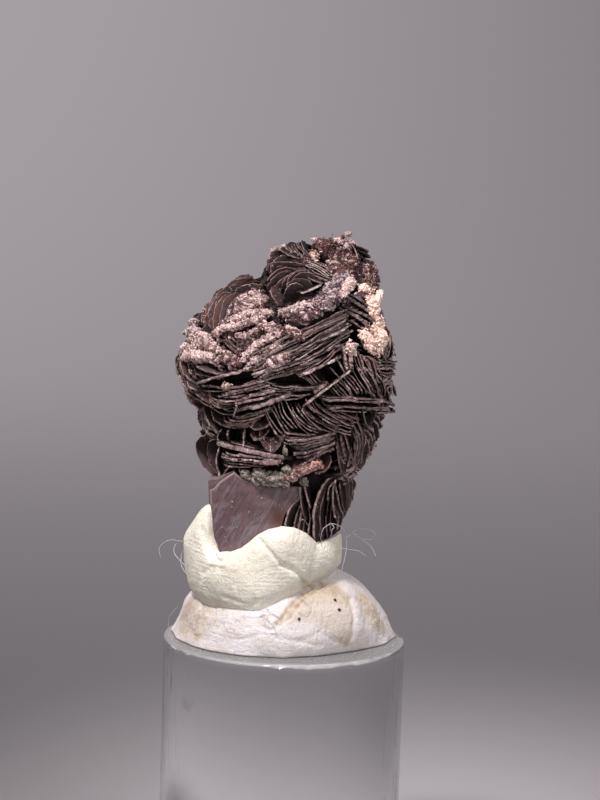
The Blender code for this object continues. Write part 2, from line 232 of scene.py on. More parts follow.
def skin(rings, marks, pole_mark=(0, 0, 0), low=None):
    """One closed skin, whose poles are the middles of its first and last ring unless low is given."""
    low = rings[0].mean(0) if low is None else low
    return shells(rings[None], low[None], rings[-1].mean(0)[None], marks[None], np.array([pole_mark], float))


def make_piece(name, shape, finish, node, sharp=None):
    """A finished mesh: the shape in metres at its own place, riding on the one body.

    Edges that bend by more than sharp degrees stay sharp.
    """
    mesh = bpy.data.meshes.new(name)
    corners = np.concatenate([shape.quads.ravel(), shape.triangles.ravel()]).astype(np.int32)
    sizes = np.concatenate([np.full(len(shape.quads), 4), np.full(len(shape.triangles), 3)])
    mesh.vertices.add(len(shape.points))
    mesh.vertices.foreach_set("co", ((shape.points + (0, 0, ROD_TOP)) * MM).astype(np.float32).ravel())
    mesh.loops.add(len(corners))
    mesh.loops.foreach_set("vertex_index", corners)
    mesh.polygons.add(len(sizes))
    mesh.polygons.foreach_set("loop_start", np.concatenate([[0], np.cumsum(sizes)[:-1]]).astype(np.int32))
    mesh.update(calc_edges=True)
    mesh.validate()
    mesh.shade_smooth()
    if sharp:
        mesh.set_sharp_from_angle(angle=math.radians(sharp))
    marks = mesh.attributes.new("marks", "FLOAT_COLOR", "POINT")
    colours = np.zeros((len(shape.points), 4), np.float32)
    colours[:, :shape.marks.shape[1]] = shape.marks
    marks.data.foreach_set("color", colours.ravel())
    mesh.materials.append(finish)
    piece = bpy.data.objects.new(name, mesh)
    bpy.context.scene.collection.objects.link(piece)
    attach(piece, "root")
    if node:
        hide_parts(node)
    return piece


# Finishes

# Colours, linear red, green and blue. The plates: faces, their edges, whose lighter colour is partly a
# painted highlight and partly dust, the dust on them, and the painted shade deep in the gaps
FACE_COLD, FACE_WARM, FACE_SLATE = (0.027, 0.016, 0.020), (0.070, 0.029, 0.023), (0.090, 0.069, 0.063)
FACE_CLOUD, FACE_RUST, FACE_GLINT = (0.050, 0.028, 0.030), (0.115, 0.042, 0.030), (0.15, 0.093, 0.096)
EDGE_DARK, EDGE_PALE, EDGE_OLIVE = (0.15, 0.098, 0.098), (0.43, 0.305, 0.303), (0.20, 0.155, 0.122)
EDGE_RED, EDGE_WARM = (0.36, 0.205, 0.195), (0.52, 0.30, 0.25)
# The last of these is painted shade: the near black that faces take deep in the gaps between plates
DUST_DARK, DUST_PALE, GAP_SHADE = (0.31, 0.195, 0.195), (0.70, 0.54, 0.535), (0.012, 0.007, 0.008)
# The crusts
BROWN_DARK, BROWN_PALE, BROWN_COLD = (0.050, 0.021, 0.021), (0.14, 0.058, 0.050), (0.085, 0.055, 0.066)
WHITE_DARK, WHITE_PALE, LAVENDER = (0.25, 0.15, 0.145), (0.76, 0.575, 0.55), (0.36, 0.29, 0.33)
CREAM_DARK, CREAM_PALE = (0.62, 0.37, 0.29), (0.97, 0.74, 0.64)
SALMON_DARK, SALMON_PALE = (0.40, 0.25, 0.225), (0.58, 0.28, 0.235)
GREEN_DARK, GREEN_PALE = (0.16, 0.135, 0.115), (0.43, 0.385, 0.32)
# The big crystal
CRYSTAL_DARK, CRYSTAL_PALE, CRYSTAL_BLUE = (0.098, 0.050, 0.056), (0.150, 0.090, 0.098), (0.19, 0.158, 0.185)
CRYSTAL_STROKE, CRYSTAL_FLECK = (0.066, 0.034, 0.038), (0.26, 0.18, 0.19)
# The rim colour is a painted highlight along the upper left edge, and the pale rims of the side layers
CRYSTAL_STAIN, CRYSTAL_RIM = (0.085, 0.036, 0.026), (0.36, 0.25, 0.245)
CRYSTAL_SLANT = (0, math.radians(28), 0)
# The putties: pale, warm and stained, and how their streaks are drawn out
CREAM_PUTTY = (0.82, 0.762, 0.66), (0.74, 0.672, 0.56), (0.50, 0.44, 0.32), (1.5, 1.5, 0.5)
WHITE_PUTTY = (0.72, 0.66, 0.69), (0.63, 0.55, 0.49), (0.42, 0.30, 0.185), (0.6, 0.6, 2.2)
PRINT_WIDTH = 1.1
# The rod, the lint, the floor and the room
ACRYLIC, FROST, ACRYLIC_IOR = (0.97, 0.975, 0.98, 1), (0.80, 0.77, 0.78, 1), 1.49
LINT_GREY, FLOOR_GREY, ROOM_GREY = (0.62, 0.61, 0.62, 1), (0.335, 0.308, 0.325, 1), (0.62, 0.61, 0.63, 1)
ROOM_STRENGTH = 0.10

# The mesh's own numbers, as the channels of its "marks"
CHANNELS = ("Red", "Green", "Blue", "Alpha")


class Value:
    """What a node's socket gives out. Arithmetic on it adds Math nodes."""

    def __init__(self, finish, socket):
        self.finish = finish
        self.socket = socket

    def _math(self, operation, *values):
        return self.finish.node("ShaderNodeMath", {"operation": operation}, dict(enumerate(values)))

    def __add__(self, other):
        return self._math("ADD", self, other)

    __radd__ = __add__

    def __sub__(self, other):
        return self._math("SUBTRACT", self, other)

    def __rsub__(self, other):
        return self._math("SUBTRACT", other, self)

    def __mul__(self, other):
        return self._math("MULTIPLY", self, other)

    __rmul__ = __mul__

    def clamp(self):
        return self.finish.node("ShaderNodeClamp", {}, {0: self})

    def above(self, low, high):
        """0 below low, 1 above high, and smooth between them."""
        return self.finish.node("ShaderNodeMapRange", {"interpolation_type": "SMOOTHSTEP"},
                                {0: self, 1: low, 2: high})


class Finish:
    """One material: a Principled shader and the nodes that feed it."""

    def __init__(self, name, **constants):
        self.material = bpy.data.materials.new(name)
        self.material.use_nodes = True
        self.tree = self.material.node_tree
        self.shader = self.tree.nodes["Principled BSDF"]
        for socket, value in constants.items():
            self.shader.inputs[socket.replace("_", " ")].default_value = value
        self.place = self.node("ShaderNodeTexCoord", {}, {}, "Object")
        self.marks = self.node("ShaderNodeAttribute", {"attribute_name": "marks"}, {}, "Color")

    def node(self, kind, settings, inputs, output=0):
        """A node of that kind: its settings first, then each socket's value or link. Gives one output."""
        made = self.tree.nodes.new(kind)
        for name, value in settings.items():
            setattr(made, name, value)
        for key, value in inputs.items():
            if isinstance(value, Value):
                self.tree.links.new(value.socket, made.inputs[key])
            else:
                made.inputs[key].default_value = value
        return Value(self, made.outputs[output])

    def mark(self, channel):
        """One of the four numbers that the mesh carries at each point, by its colour channel."""
        if channel == "Alpha":
            return self.node("ShaderNodeAttribute", {"attribute_name": "marks"}, {}, channel)
        return self.node("ShaderNodeSeparateColor", {}, {0: self.marks}, channel)

    def stretched(self, size, turn=(0, 0, 0)):
        """The object's own coordinates, turned back by turn and then scaled by size."""
        parts = tuple(1 / part for part in size)
        return self.node("ShaderNodeMapping", {"vector_type": "TEXTURE"}, {0: self.place, 2: turn, 3: parts})

    def noise(self, size, detail=4, roughness=0.55, place=None, skew=0.0):
        """Cloudy unevenness, 0 to 1, whose largest features are about size millimetres."""
        return self.node("ShaderNodeTexNoise", {}, {"Vector": place or self.place, "Scale": 1 / (size * MM),
                                                    "Detail": detail, "Roughness": roughness,
                                                    "Distortion": skew})

    def mix(self, share, low, high):
        """A colour between low and high, by share. Each is a colour or a socket's."""
        low, high = [(*c, 1) if isinstance(c, tuple) else c for c in (low, high)]
        return self.node("ShaderNodeMix", {"data_type": "RGBA"}, {0: share, 6: low, 7: high}, 2)

    def bump(self, height, distance, strength):
        """The normal of a surface raised by height times distance millimetres."""
        return self.node("ShaderNodeBump", {},
                         {"Height": height, "Distance": distance * MM, "Strength": strength})

    def feed(self, **values):
        """Links each value to the shader's socket of that name."""
        for socket, value in values.items():
            self.tree.links.new(value.socket, self.shader.inputs[socket.replace("_", " ")])


def hematite_finish():
    """Plates: dark purplish brown faces, lighter pinkish edges that are partly a painted highlight and partly
    dust, pale dust, and painted shade in the gaps.

    The marks are the rim's share, the dust's share, a tone from cold (0) to warm (1) and the depth in a gap,
    which sets the painted shade.
    """
    f = Finish("hematite_plates", Metallic=0.05, Specular_IOR_Level=0.16)
    rim, dust, warm, deep = [f.mark(channel) for channel in CHANNELS]
    patch, cloud, grain, fine = f.noise(3.2, 3), f.noise(1.6), f.noise(0.35, 3), f.noise(0.12, 2)
    face = f.mix(warm, FACE_COLD, FACE_WARM)
    face = f.mix(warm.above(0.02, 0.12), FACE_SLATE, face)
    face = f.mix(cloud.above(0.35, 0.7) * 0.7, face, FACE_CLOUD)
    face = f.mix(warm.above(0.75, 0.95) * 0.8, face, FACE_RUST)
    face = f.mix(grain.above(0.5, 0.72) * 0.25, face, FACE_GLINT)
    edge = f.mix(cloud.above(0.35, 0.65), EDGE_DARK, EDGE_PALE)
    edge = f.mix(patch.above(0.5, 0.62) * 0.6, edge, EDGE_OLIVE)
    edge = f.mix((1 - patch).above(0.5, 0.62) * 0.4, edge, EDGE_RED)
    edge = f.mix(warm.above(0.75, 1.0) * 0.5, edge, EDGE_WARM)
    # The lighter rim is partly a painted highlight where the edges catch the light, and partly their dusting
    body = f.mix((rim * grain.above(0.22, 0.55)).clamp(), face, edge)
    pale = f.mix(grain.above(0.3, 0.7), DUST_DARK, DUST_PALE)
    cover = (dust + (fine - 0.5) * 1.2 + (grain - 0.5) * 0.9).above(0.5, 0.78)
    # Painted shade: by the depth mark, faces deep in the gaps darken towards near black
    colour = f.mix(deep.above(0.0, 0.85), f.mix(cover, body, pale), GAP_SHADE)
    f.feed(Base_Color=colour, Roughness=0.45 + 0.3 * grain + 0.2 * cover + 0.2 * deep,
           Normal=f.bump(grain * 0.5 + fine * 0.5, 0.05, 0.6))
    return f.material


def crust_finish():
    """Grains: red-brown to pinkish white by how pale they are, with finer flecks.

    The marks are cold (lavender grey), pale, cream and salmon pink. Cold and salmon together are greenish.
    """
    f = Finish("granular_crust", Specular_IOR_Level=0.3)
    cold, pale, tint, salmon = [f.mark(channel) for channel in CHANNELS]
    cloud, fine = f.noise(0.9), f.noise(0.14, 2)
    brown = f.mix(cloud.above(0.35, 0.65), BROWN_DARK, BROWN_PALE)
    brown = f.mix(cold * 0.8, brown, BROWN_COLD)
    white = f.mix(fine.above(0.34, 0.68), WHITE_DARK, WHITE_PALE)
    white = f.mix(cold * 0.75, white, LAVENDER)
    cream = f.mix(fine.above(0.3, 0.6), CREAM_DARK, CREAM_PALE)
    pink = f.mix(cloud.above(0.4, 0.6), SALMON_DARK, SALMON_PALE)
    green = f.mix(fine.above(0.3, 0.65), GREEN_DARK, GREEN_PALE)
    light = f.mix(salmon, f.mix(tint, white, cream), f.mix(cold, pink, green))
    colour = f.mix((pale + (fine - 0.5) * 0.6 + (cloud - 0.5) * 0.5).above(0.2, 0.85), brown, light)
    f.feed(Base_Color=colour, Roughness=0.4 + 0.4 * fine, Normal=f.bump(fine, 0.05, 0.8))
    return f.material


def crystal_finish():
    """The big crystal's face: satin purple-brown, with bluish slanting streaks, a brown stain, and a pale rim
    that is a painted highlight at the upper left.
    """
    f = Finish("hematite_crystal", Metallic=0.05, Specular_IOR_Level=0.35)
    rim, stain = f.mark("Red"), f.mark("Green")
    streaks = f.noise(0.8, 6, 0.72, f.stretched((1.0, 1.0, 0.22), CRYSTAL_SLANT), 0.8)
    strokes = f.noise(0.3, 5, 0.7, f.stretched((1.0, 1.0, 0.3), CRYSTAL_SLANT), 0.8)
    cloud, fine = f.noise(2.2, 3), f.noise(0.1, 3)
    colour = f.mix(cloud.above(0.3, 0.7), CRYSTAL_DARK, CRYSTAL_PALE)
    colour = f.mix(streaks.above(0.47, 0.6) * 0.7, colour, CRYSTAL_BLUE)
    colour = f.mix(strokes.above(0.48, 0.6) * 0.6, colour, CRYSTAL_STROKE)
    colour = f.mix(fine.above(0.48, 0.72) * 0.35, colour, CRYSTAL_FLECK)
    colour = f.mix(stain, colour, CRYSTAL_STAIN)
    # Painted highlight on the rim at the upper left, and the side layers' pale rims
    colour = f.mix(rim * 0.6, colour, CRYSTAL_RIM)
    f.feed(Base_Color=colour, Roughness=0.5 + 0.18 * streaks,
           Normal=f.bump(streaks * 0.5 + strokes * 0.4 + fine * 0.3, 0.06, 0.6))
    return f.material


def putty_finish(name, pale, warm, stained, streak_size):
    """Matt putty: mottling, stains by the mesh's marks, drawn-out streaks, veins, fine prints and pores."""
    f = Finish(name, Roughness=0.6, Subsurface_Weight=0.10, Subsurface_Radius=(0.6 * MM, 0.4 * MM, 0.3 * MM),
               Subsurface_Scale=1.0)
    beige, stain = f.mark("Red"), f.mark("Green")
    cloud, mottle, fine = f.noise(3.0, 4), f.noise(0.7, 4), f.noise(0.16, 3)
    streaks = f.noise(1.0, 4, 0.6, f.stretched(streak_size), 0.6)
    bands = {"Vector": f.place, "Scale": 1 / (PRINT_WIDTH * MM), "Distortion": 8.0, "Detail": 2.0,
             "Detail Scale": 0.5}
    upright, level = [f.node("ShaderNodeTexWave", {"bands_direction": way}, bands) for way in ("X", "Z")]
    side = cloud.above(0.45, 0.55)
    prints = upright * side + level * (1 - side)
    middle = f.noise(1.1, 3, 0.5, skew=1.2) - 0.5
    veins = (1 - middle * middle * 500).clamp()
    colour = f.mix(cloud.above(0.35, 0.65) * 0.5, pale, warm)
    colour = f.mix(streaks.above(0.48, 0.68) * 0.25, colour, warm)
    colour = f.mix((beige * (mottle * 0.8 + 0.5)).clamp() * 0.8, colour, f.mix(0.4, warm, stained))
    blot = stain * (mottle.above(0.3, 0.62) * 0.8 + veins * 0.7 + 0.25) * (fine.above(0.2, 0.6) * 0.5 + 0.7)
    colour = f.mix(blot.clamp() * 0.9, colour, stained)
    colour = f.mix(fine.above(0.54, 0.68) * 0.3, colour, tuple(0.6 * part for part in warm))
    relief = prints * 0.09 + mottle * 0.35 + fine * 0.5 + streaks * 0.4 - veins * 0.12
    f.feed(Base_Color=colour, Normal=f.bump(relief, 0.2, 0.6))
    return f.material


def acrylic_finish():
    """Clear acrylic, with fine level lines and scratches, and a frosted look where the saw cut it."""
    f = Finish("clear_acrylic", Base_Color=ACRYLIC, Transmission_Weight=1.0, IOR=ACRYLIC_IOR)
    rough = f.mark("Red")
    lines = f.noise(1.0, 4, 0.6, f.stretched((0.25, 0.25, 4.0)))
    scratches = f.noise(0.8, 2, 0.5, f.stretched((3.0, 3.0, 0.12)))
    grain = f.noise(0.25, 3)
    normal = f.bump(lines * 0.5 + scratches.above(0.6, 0.7) + rough * grain * 4, 0.02, 0.35)
    f.feed(Roughness=0.02 + 0.3 * rough + 0.05 * scratches.above(0.62, 0.7), Normal=normal)
    frost = f.node("ShaderNodeBsdfPrincipled", {},
                   {"Base Color": FROST, "Roughness": 0.45, "IOR": ACRYLIC_IOR, "Transmission Weight": 0.55})
    clear = Value(f, f.shader.outputs["BSDF"])
    blend = f.node("ShaderNodeMixShader", {}, {0: rough * (0.35 + 0.5 * grain), 1: clear, 2: frost})
    f.tree.links.new(blend.socket, f.tree.nodes["Material Output"].inputs["Surface"])
    return f.material


def lint_finish():
    """Grey threads that let a little light through."""
    return Finish("lint", Base_Color=LINT_GREY, Roughness=0.7, Transmission_Weight=0.2).material


# Hematite plates

Sweep = namedtuple("Sweep", "edges count tilt depth thick proud dust warm loose dark", defaults=(1.0, 0.0))
# Families of plate edges as they run over the front. Edges: the pixels of an end, the middle and the other
# end of the first edge, then of the last one where there are more. Then how many; how far their faces tilt
# to the viewer, in degrees (over 90, the edge is the far one); depth, thickness and stand-out in
# millimetres; how dusty, how warm, how far they stray, and how much more painted shade their faces get (less
# below 0).
SWEEPS = [Sweep(*row) for row in (
    # Metallic ends and the open fan at the top
    ((279, 250, 288, 254, 298, 260, 300, 241, 305, 249, 312, 257), 9, 25, 1.6, 0.06, 0.2, 0.3, 0.1, 0.7),
    ((336, 274, 306, 257, 268, 261), 1, 100, 1.6, 0.13, 0.1, 0.35, 0.7, 1.0, -0.1),
    ((334, 276, 302, 263, 268, 264, 330, 280, 296, 268, 266, 276),
     3, 78, 1.1, 0.1, 0.15, 0.15, 0.68, 0.5, -0.1),
    ((296, 268, 280, 269, 266, 279, 292, 271, 280, 273, 266, 285),
     2, 78, 0.9, 0.1, 0.3, 0.15, 0.68, 0.5, -0.1),
    ((306, 269, 294, 273, 286, 282, 292, 272, 282, 279, 273, 286),
     3, 78, 0.9, 0.1, 0.4, 0.15, 0.68, 0.5, -0.1),
    ((322, 280, 304, 272, 290, 282, 304, 286, 294, 283, 284, 291),
     3, 78, 0.9, 0.1, 0.55, 0.15, 0.7, 0.5, -0.1),
    ((306, 267, 318, 273, 331, 280, 306, 276, 314, 279, 322, 284), 4, 20, 0.9, 0.1, 0.5, 0.3, 0.2, 0.8, 0.0),
    ((335, 273, 322, 266, 308, 260, 331, 279, 318, 271, 305, 264), 4, 20, 1.0, 0.1, 0.5, 0.3, 0.1, 0.6, 0.0),
    ((276, 249, 270, 256, 264, 268, 290, 252, 276, 260, 268, 272), 4, 60, 1.4, 0.1, 0.0, 0.3, 0.4),
    ((275, 286, 271, 292, 275, 304), 1, 52, 1.0, 0.18, 0.8, 0.35, 0.5, 1.0, -0.3),
    ((302, 292, 309, 289, 324, 286), 1, 10, 1.2, 0.15, 0.6, 0.6, 0.3),
    ((303, 300, 309, 302, 318, 296, 306, 304, 311, 305, 318, 300), 2, 0, 1.2, 0.12, 0.2, 0.3, 0.3),
    ((352, 239, 359, 248, 362, 261, 346, 246, 353, 254, 357, 266), 6, 15, 1.6, 0.12, -0.3, 0.2, 0.3),
    ((367, 290, 366, 276, 366, 261, 376, 291, 375, 276, 374, 262), 4, 40, 1.2, 0.16, 0.0, 0.35, 0.7),
    # Petals at the upper left, whose far edges show
    ((256, 277, 242, 275, 229, 284, 254, 280, 242, 278, 232, 286),
     3, 112, 1.8, 0.16, -2.2, 0.3, 0.6, 1.0, -0.3),
    ((232, 286, 221, 289, 211, 299), 1, 108, 1.8, 0.12, -0.8, 0.35, 0.62, 0.5, -0.3),
    ((257, 279, 226, 285, 200, 326), 1, 78, 2.4, 0.14, -0.5, 0.3, 0.78, 0.3, -0.4),
    ((262, 282, 246, 284, 232, 290), 1, 78, 1.6, 0.12, -0.3, 0.3, 0.9, 0.3, -0.2),
    ((232, 289, 213, 302, 206, 328), 1, 78, 1.6, 0.12, -0.2, 0.25, 0.72, 0.3, -0.4),
    ((236, 291, 218, 302, 212, 330), 1, 78, 1.6, 0.12, 0.05, 0.25, 0.74, 0.3, -0.4),
    ((241, 292, 224, 301, 218, 332), 1, 78, 1.6, 0.13, 0.3, 0.25, 0.74, 0.3, -0.3),
    ((242, 299, 230, 305, 224, 326), 1, 78, 1.4, 0.12, 0.45, 0.3, 0.7, 0.3, -0.1),
    ((197, 314, 192, 318, 190, 326, 203, 311, 198, 316, 196, 326), 2, 70, 1.0, 0.16, -1.2, 0.3, 0.6),
    # The hollow with crossed plates
    ((221, 339, 230, 347, 241, 357, 230, 336, 238, 344, 247, 351), 4, 10, 1.6, 0.098, 0.0, 0.3, 0.2),
    ((236, 354, 238, 345, 239, 334, 243, 352, 245, 344, 248, 335), 2, 10, 1.5, 0.13, 0.1, 0.3, 0.3),
    ((215, 333, 225, 335, 236, 336, 217, 345, 222, 345, 228, 343), 4, 30, 1.4, 0.098, -0.3, 0.1, 0.3),
    # The sweep of edges under the crusted ridge
    ((243, 360, 288, 338, 368, 299, 262, 381, 300, 372, 342, 356), 15, 0, 2.6, 0.12, 0.1, 0.2, 0.3),
    ((296, 345, 322, 330, 352, 313, 303, 371, 322, 362, 338, 350), 13, 6, 1.8, 0.09, 0.3, 0.3, 0.1, 2.2),
    ((247, 369, 262, 359, 290, 343, 258, 381, 274, 373, 292, 364), 6, 8, 2.0, 0.15, 0.5, 0.6, 0.3, 1.5),
    ((298, 376, 318, 368, 341, 357), 1, 10, 2.0, 0.22, 0.5, 0.4, 0.7),
    ((300, 377, 305, 380, 311, 385, 313, 373, 317, 378, 323, 384), 4, 0, 1.2, 0.11, -0.2, 0.2, 0.3),
    # The left rims and the mouth behind them
    ((183, 347, 176, 366, 185, 392, 190, 351, 185, 374, 198, 398), 4, 48, 2.4, 0.14, 0.0, 0.3, 0.5),
    ((181, 352, 179, 380, 205, 406), 1, 40, 1.8, 0.17, 0.5, 0.7, 0.5),
    ((190, 396, 202, 404, 217, 411, 196, 389, 205, 396, 215, 400), 3, 64, 2.0, 0.12, 0.0, 0.1, 0.8, 0.6),
    ((201, 361, 210, 365, 218, 369, 193, 358, 208, 363, 223, 374), 2, 20, 2.0, 0.17, 0.3, 0.5, 0.1),
    ((193, 367, 206, 372, 221, 378, 193, 373, 206, 377, 222, 379), 2, 34, 1.6, 0.12, 0.1, 0.3, 0.0),
    ((193, 384, 215, 378, 252, 371), 1, 6, 2.6, 0.19, 0.6, 0.6, 0.2),
    ((197, 386, 212, 387, 225, 389, 200, 391, 213, 391, 225, 392), 2, 0, 2.2, 0.12, 0.2, 0.3, 0.3),
    # The nearly level rims and their turned-up left ends
    ((224, 388, 246, 383, 268, 377, 216, 403, 240, 402, 276, 396), 7, 6, 3.0, 0.13, 0.3, 0.3, 0.4),
    ((234, 410, 260, 406, 290, 396), 1, 14, 2.6, 0.3, 0.6, 0.5, 0.7),
    ((232, 416, 250, 415, 272, 408, 216, 423, 237, 428, 258, 421), 6, 8, 2.4, 0.14, 0.2, 0.2, 0.6),
    ((208, 387, 213, 397, 226, 401, 209, 400, 216, 411, 232, 415), 6, 12, 2.0, 0.11, 0.2, 0.3, 0.6),
    ((210, 408, 219, 424, 240, 427), 1, 40, 2.0, 0.14, 0.2, 0.4, 0.55),
    ((256, 381, 285, 386, 320, 386, 258, 396, 285, 399, 308, 397), 8, 6, 2.2, 0.098, 0.2, 0.3, 0.5, 1.6),
    ((233, 416, 235, 408, 237, 400), 1, 0, 1.0, 0.14, 0.8, 0.6, 0.4),
    # The herringbone: its long upper edge, its rungs and the upright edges beside it
    ((306, 407, 324, 390, 353, 369), 1, 8, 2.0, 0.13, 0.7, 0.4, 0.4),
    ((316, 396, 322, 388, 330, 383), 1, 30, 1.6, 0.29, 0.3, 0.5, 0.9),
    ((327, 387, 332, 393, 338, 398, 353, 371, 361, 383, 368, 395), 10, 0, 1.8, 0.11, 0.2, 0.3, 0.3, 0.6),
    ((357, 367, 364, 380, 373, 397, 377, 372, 382, 383, 387, 397), 7, 0, 1.8, 0.11, 0.2, 0.3, 0.3),
    ((353, 350, 357, 362, 360, 371, 371, 356, 378, 366, 384, 386), 7, -14, 1.8, 0.13, 0.2, 0.3, 0.6),
    ((348, 372, 346, 358, 345, 343, 352, 371, 351, 360, 352, 350), 2, 10, 1.8, 0.22, 0.5, 0.5, 0.7),
    ((335, 361, 341, 366, 346, 374, 330, 368, 336, 372, 341, 379), 2, 0, 1.4, 0.13, 0.1, 0.3, 0.4),
    # The right edge: thin plates beside the cream chunk, the level stack and the bits under it
    ((378, 290, 383, 306, 387, 326, 373, 290, 379, 308, 384, 327), 4, -20, 2.0, 0.11, 0.0, 0.2, 0.4),
    ((388, 324, 393, 340, 391, 358, 383, 330, 387, 345, 384, 361), 6, -10, 2.0, 0.098, 0.0, 0.1, 0.2),
    ((374, 361, 386, 363, 397, 362, 382, 376, 389, 377, 397, 376), 7, 6, 1.8, 0.11, 0.2, 0.2, 0.2),
    ((383, 384, 388, 380, 393, 377, 386, 391, 390, 386, 395, 382), 4, 20, 1.4, 0.11, 0.2, 0.6, 0.2),
    ((396, 398, 395, 389, 393, 380, 390, 397, 390, 390, 389, 385), 4, -20, 1.4, 0.11, 0.0, 0.3, 0.5),
    # The level band under the herringbone
    ((321, 398, 350, 399, 390, 401, 330, 411, 352, 411, 390, 411), 7, 4, 2.6, 0.12, 0.3, 0.3, 0.2),
    ((378, 404, 390, 403, 397, 407, 378, 412, 390, 412, 397, 408), 2, 0, 2.0, 0.16, 0.2, 0.3, 0.2),
    # Sheaves that fall away under the herringbone
    ((318, 401, 334, 412, 356, 420, 289, 409, 300, 427, 320, 438), 13, 16, 2.4, 0.11, 0.2, 0.2, 0.6),
    ((336, 409, 348, 415, 361, 418, 334, 431, 345, 434, 354, 437), 6, 10, 2.0, 0.11, 0.0, 0.2, 0.3),
    ((285, 398, 291, 412, 303, 427, 264, 411, 270, 424, 279, 437), 7, -8, 2.0, 0.11, 0.1, 0.3, 0.5),
    ((360, 416, 362, 428, 367, 440, 352, 418, 355, 428, 357, 438), 4, 12, 1.6, 0.13, 0.0, 0.1, 0.2),
    ((366, 413, 370, 426, 377, 414), 1, 40, 1.6, 0.14, 0.1, 0.1, 0.2),
    ((246, 425, 257, 431, 271, 425, 249, 433, 258, 440, 269, 433),
     2, 30, 1.4, 0.14, 0.2, 0.4, 0.5, 0.8, -0.6),
    ((259, 437, 270, 452, 285, 437), 1, 62, 1.2, 0.22, 0.2, 0.3, 0.5, 0.8, -0.9),
    ((283, 432, 300, 434, 318, 436, 284, 444, 292, 444, 300, 441), 4, 10, 1.8, 0.11, 0.1, 0.4, 0.5),
    # The waist: dark windows between upright partitions, and the long bright edge under them
    ((219, 441, 219, 436, 219, 429, 228, 442, 228, 436, 228, 430), 2, 0, 1.4, 0.12, 0.0, 0.4, 0.5),
    ((243, 449, 243, 440, 244, 429), 1, 0, 1.6, 0.12, 0.1, 0.4, 0.4),
    ((245, 443, 256, 447, 268, 450, 228, 442, 240, 444, 258, 450), 4, 12, 1.6, 0.098, -0.3, 0.2, 0.2),
    ((213, 443, 240, 450, 287, 461), 1, 10, 2.4, 0.26, 0.6, 0.6, 0.4),
    ((219, 451, 240, 454, 262, 459, 222, 466, 240, 466, 260, 467), 7, 4, 2.2, 0.098, 0.3, 0.4, 0.4),
    ((252, 461, 266, 462, 282, 463), 1, 10, 1.6, 0.29, 0.2, 0.3, 0.2),
    ((219, 480, 217, 463, 217, 446), 1, 0, 1.2, 0.12, 0.6, 0.6, 0.4),
    ((209, 433, 196, 448, 213, 480), 1, 62, 1.8, 0.16, 0.1, 0.15, 0.5, 0.5, -0.5),
    ((213, 439, 206, 450, 216, 478), 1, 66, 1.6, 0.12, 0.3, 0.1, 0.4, 0.5, -0.3),
    ((201, 436, 206, 427, 217, 432, 204, 438, 208, 433, 213, 434), 2, -30, 1.4, 0.13, 0.1, 0.4, 0.6),
    ((201, 404, 199, 418, 205, 432), 1, 84, 1.8, 0.22, -2.2, 0.5, 0.7, 0.5, -0.9),
    ((223, 478, 226, 470, 232, 466), 1, 0, 1.2, 0.14, 0.1, 0.4, 0.5),
    # Slabs at the right of the waist, one of them salmon pink
    ((291, 441, 314, 439, 338, 433, 298, 463, 316, 457, 336, 449), 7, 18, 2.2, 0.18, 0.2, 0.4, 0.5),
    ((281, 482, 300, 474, 322, 461, 284, 477, 300, 470, 320, 463), 4, 40, 2.0, 0.21, 0.4, 0.5, 1.0),
    ((316, 475, 326, 469, 335, 459), 1, 44, 1.8, 0.29, 0.1, 0.0, 0.5),
    ((337, 443, 343, 474, 352, 446), 1, 72, 1.4, 0.2, 0.5, 0.4, -0.1, 0.5, -0.5),
    ((336, 441, 340, 458, 350, 468, 345, 437, 349, 450, 355, 466),
     3, 40, 1.6, 0.14, 0.1, 0.4, 0.1, 0.8, -0.3),
    ((354, 446, 360, 470, 370, 446), 1, 72, 1.1, 0.18, 0.0, 0.4, -0.1, 0.5, -0.6),
    ((351, 432, 356, 450, 352, 470, 360, 432, 363, 446, 360, 466),
     3, 40, 1.1, 0.13, -0.2, 0.4, 0.1, 0.8, -0.4),
    ((371, 436, 368, 454, 361, 472, 366, 434, 364, 450, 357, 470),
     2, -40, 1.3, 0.14, -0.1, 0.35, 0.0, 0.6, -0.5),
    ((355, 478, 352, 498, 346, 519), 1, -64, 1.6, 0.18, 0.1, 0.2, -0.1, 0.6, -0.9),
    ((343, 474, 351, 490, 346, 520), 1, -58, 1.4, 0.16, 0.3, 0.3, 0.0, 0.4, -0.8),
    # Upright plates beside the big crystal
    ((300, 497, 291, 510, 283, 527), 1, 30, 1.6, 0.13, 0.4, 0.4, 0.4),
    ((301, 500, 297, 515, 291, 531, 308, 504, 309, 520, 307, 536), 4, 40, 1.6, 0.11, 0.0, 0.1, 0.6, 0.6),
    ((299, 488, 301, 504, 304, 520, 304, 488, 307, 498, 310, 510), 2, 30, 1.4, 0.13, 0.5, 0.35, 0.5, 0.5),
    ((298, 528, 302, 519, 308, 528), 1, 20, 1.2, 0.12, 0.5, 0.2, 0.5),
    ((328, 478, 315, 503, 314, 541), 1, 34, 1.2, 0.2, 0.8, 0.4, 0.65, 0.4, -0.3),
    ((330, 479, 321, 505, 322, 538), 1, 24, 1.0, 0.14, 0.4, 0.2, 0.5, 0.3, -0.2),
    ((334, 482, 328, 490, 327, 502), 1, 10, 1.0, 0.12, 0.8, 0.45, 0.5, 0.2, 0.0),
    ((336, 480, 332, 500, 337, 523), 1, 10, 1.0, 0.13, 0.9, 0.5, 0.5, 0.2, 0.0),
    ((336, 485, 339, 503, 345, 519), 1, -10, 1.0, 0.12, 0.8, 0.45, 0.4, 0.2, 0.0),
    ((332, 482, 326, 506, 327, 540, 341, 500, 338, 514, 336, 530),
     3, 20, 1.0, 0.11, -0.2, 0.15, 0.6, 0.8, 0.2),
    ((334, 483, 332, 500, 339, 520, 338, 484, 340, 498, 345, 515), 2, 40, 1.2, 0.12, 0.7, 0.3, 0.4, 0.6),
)]

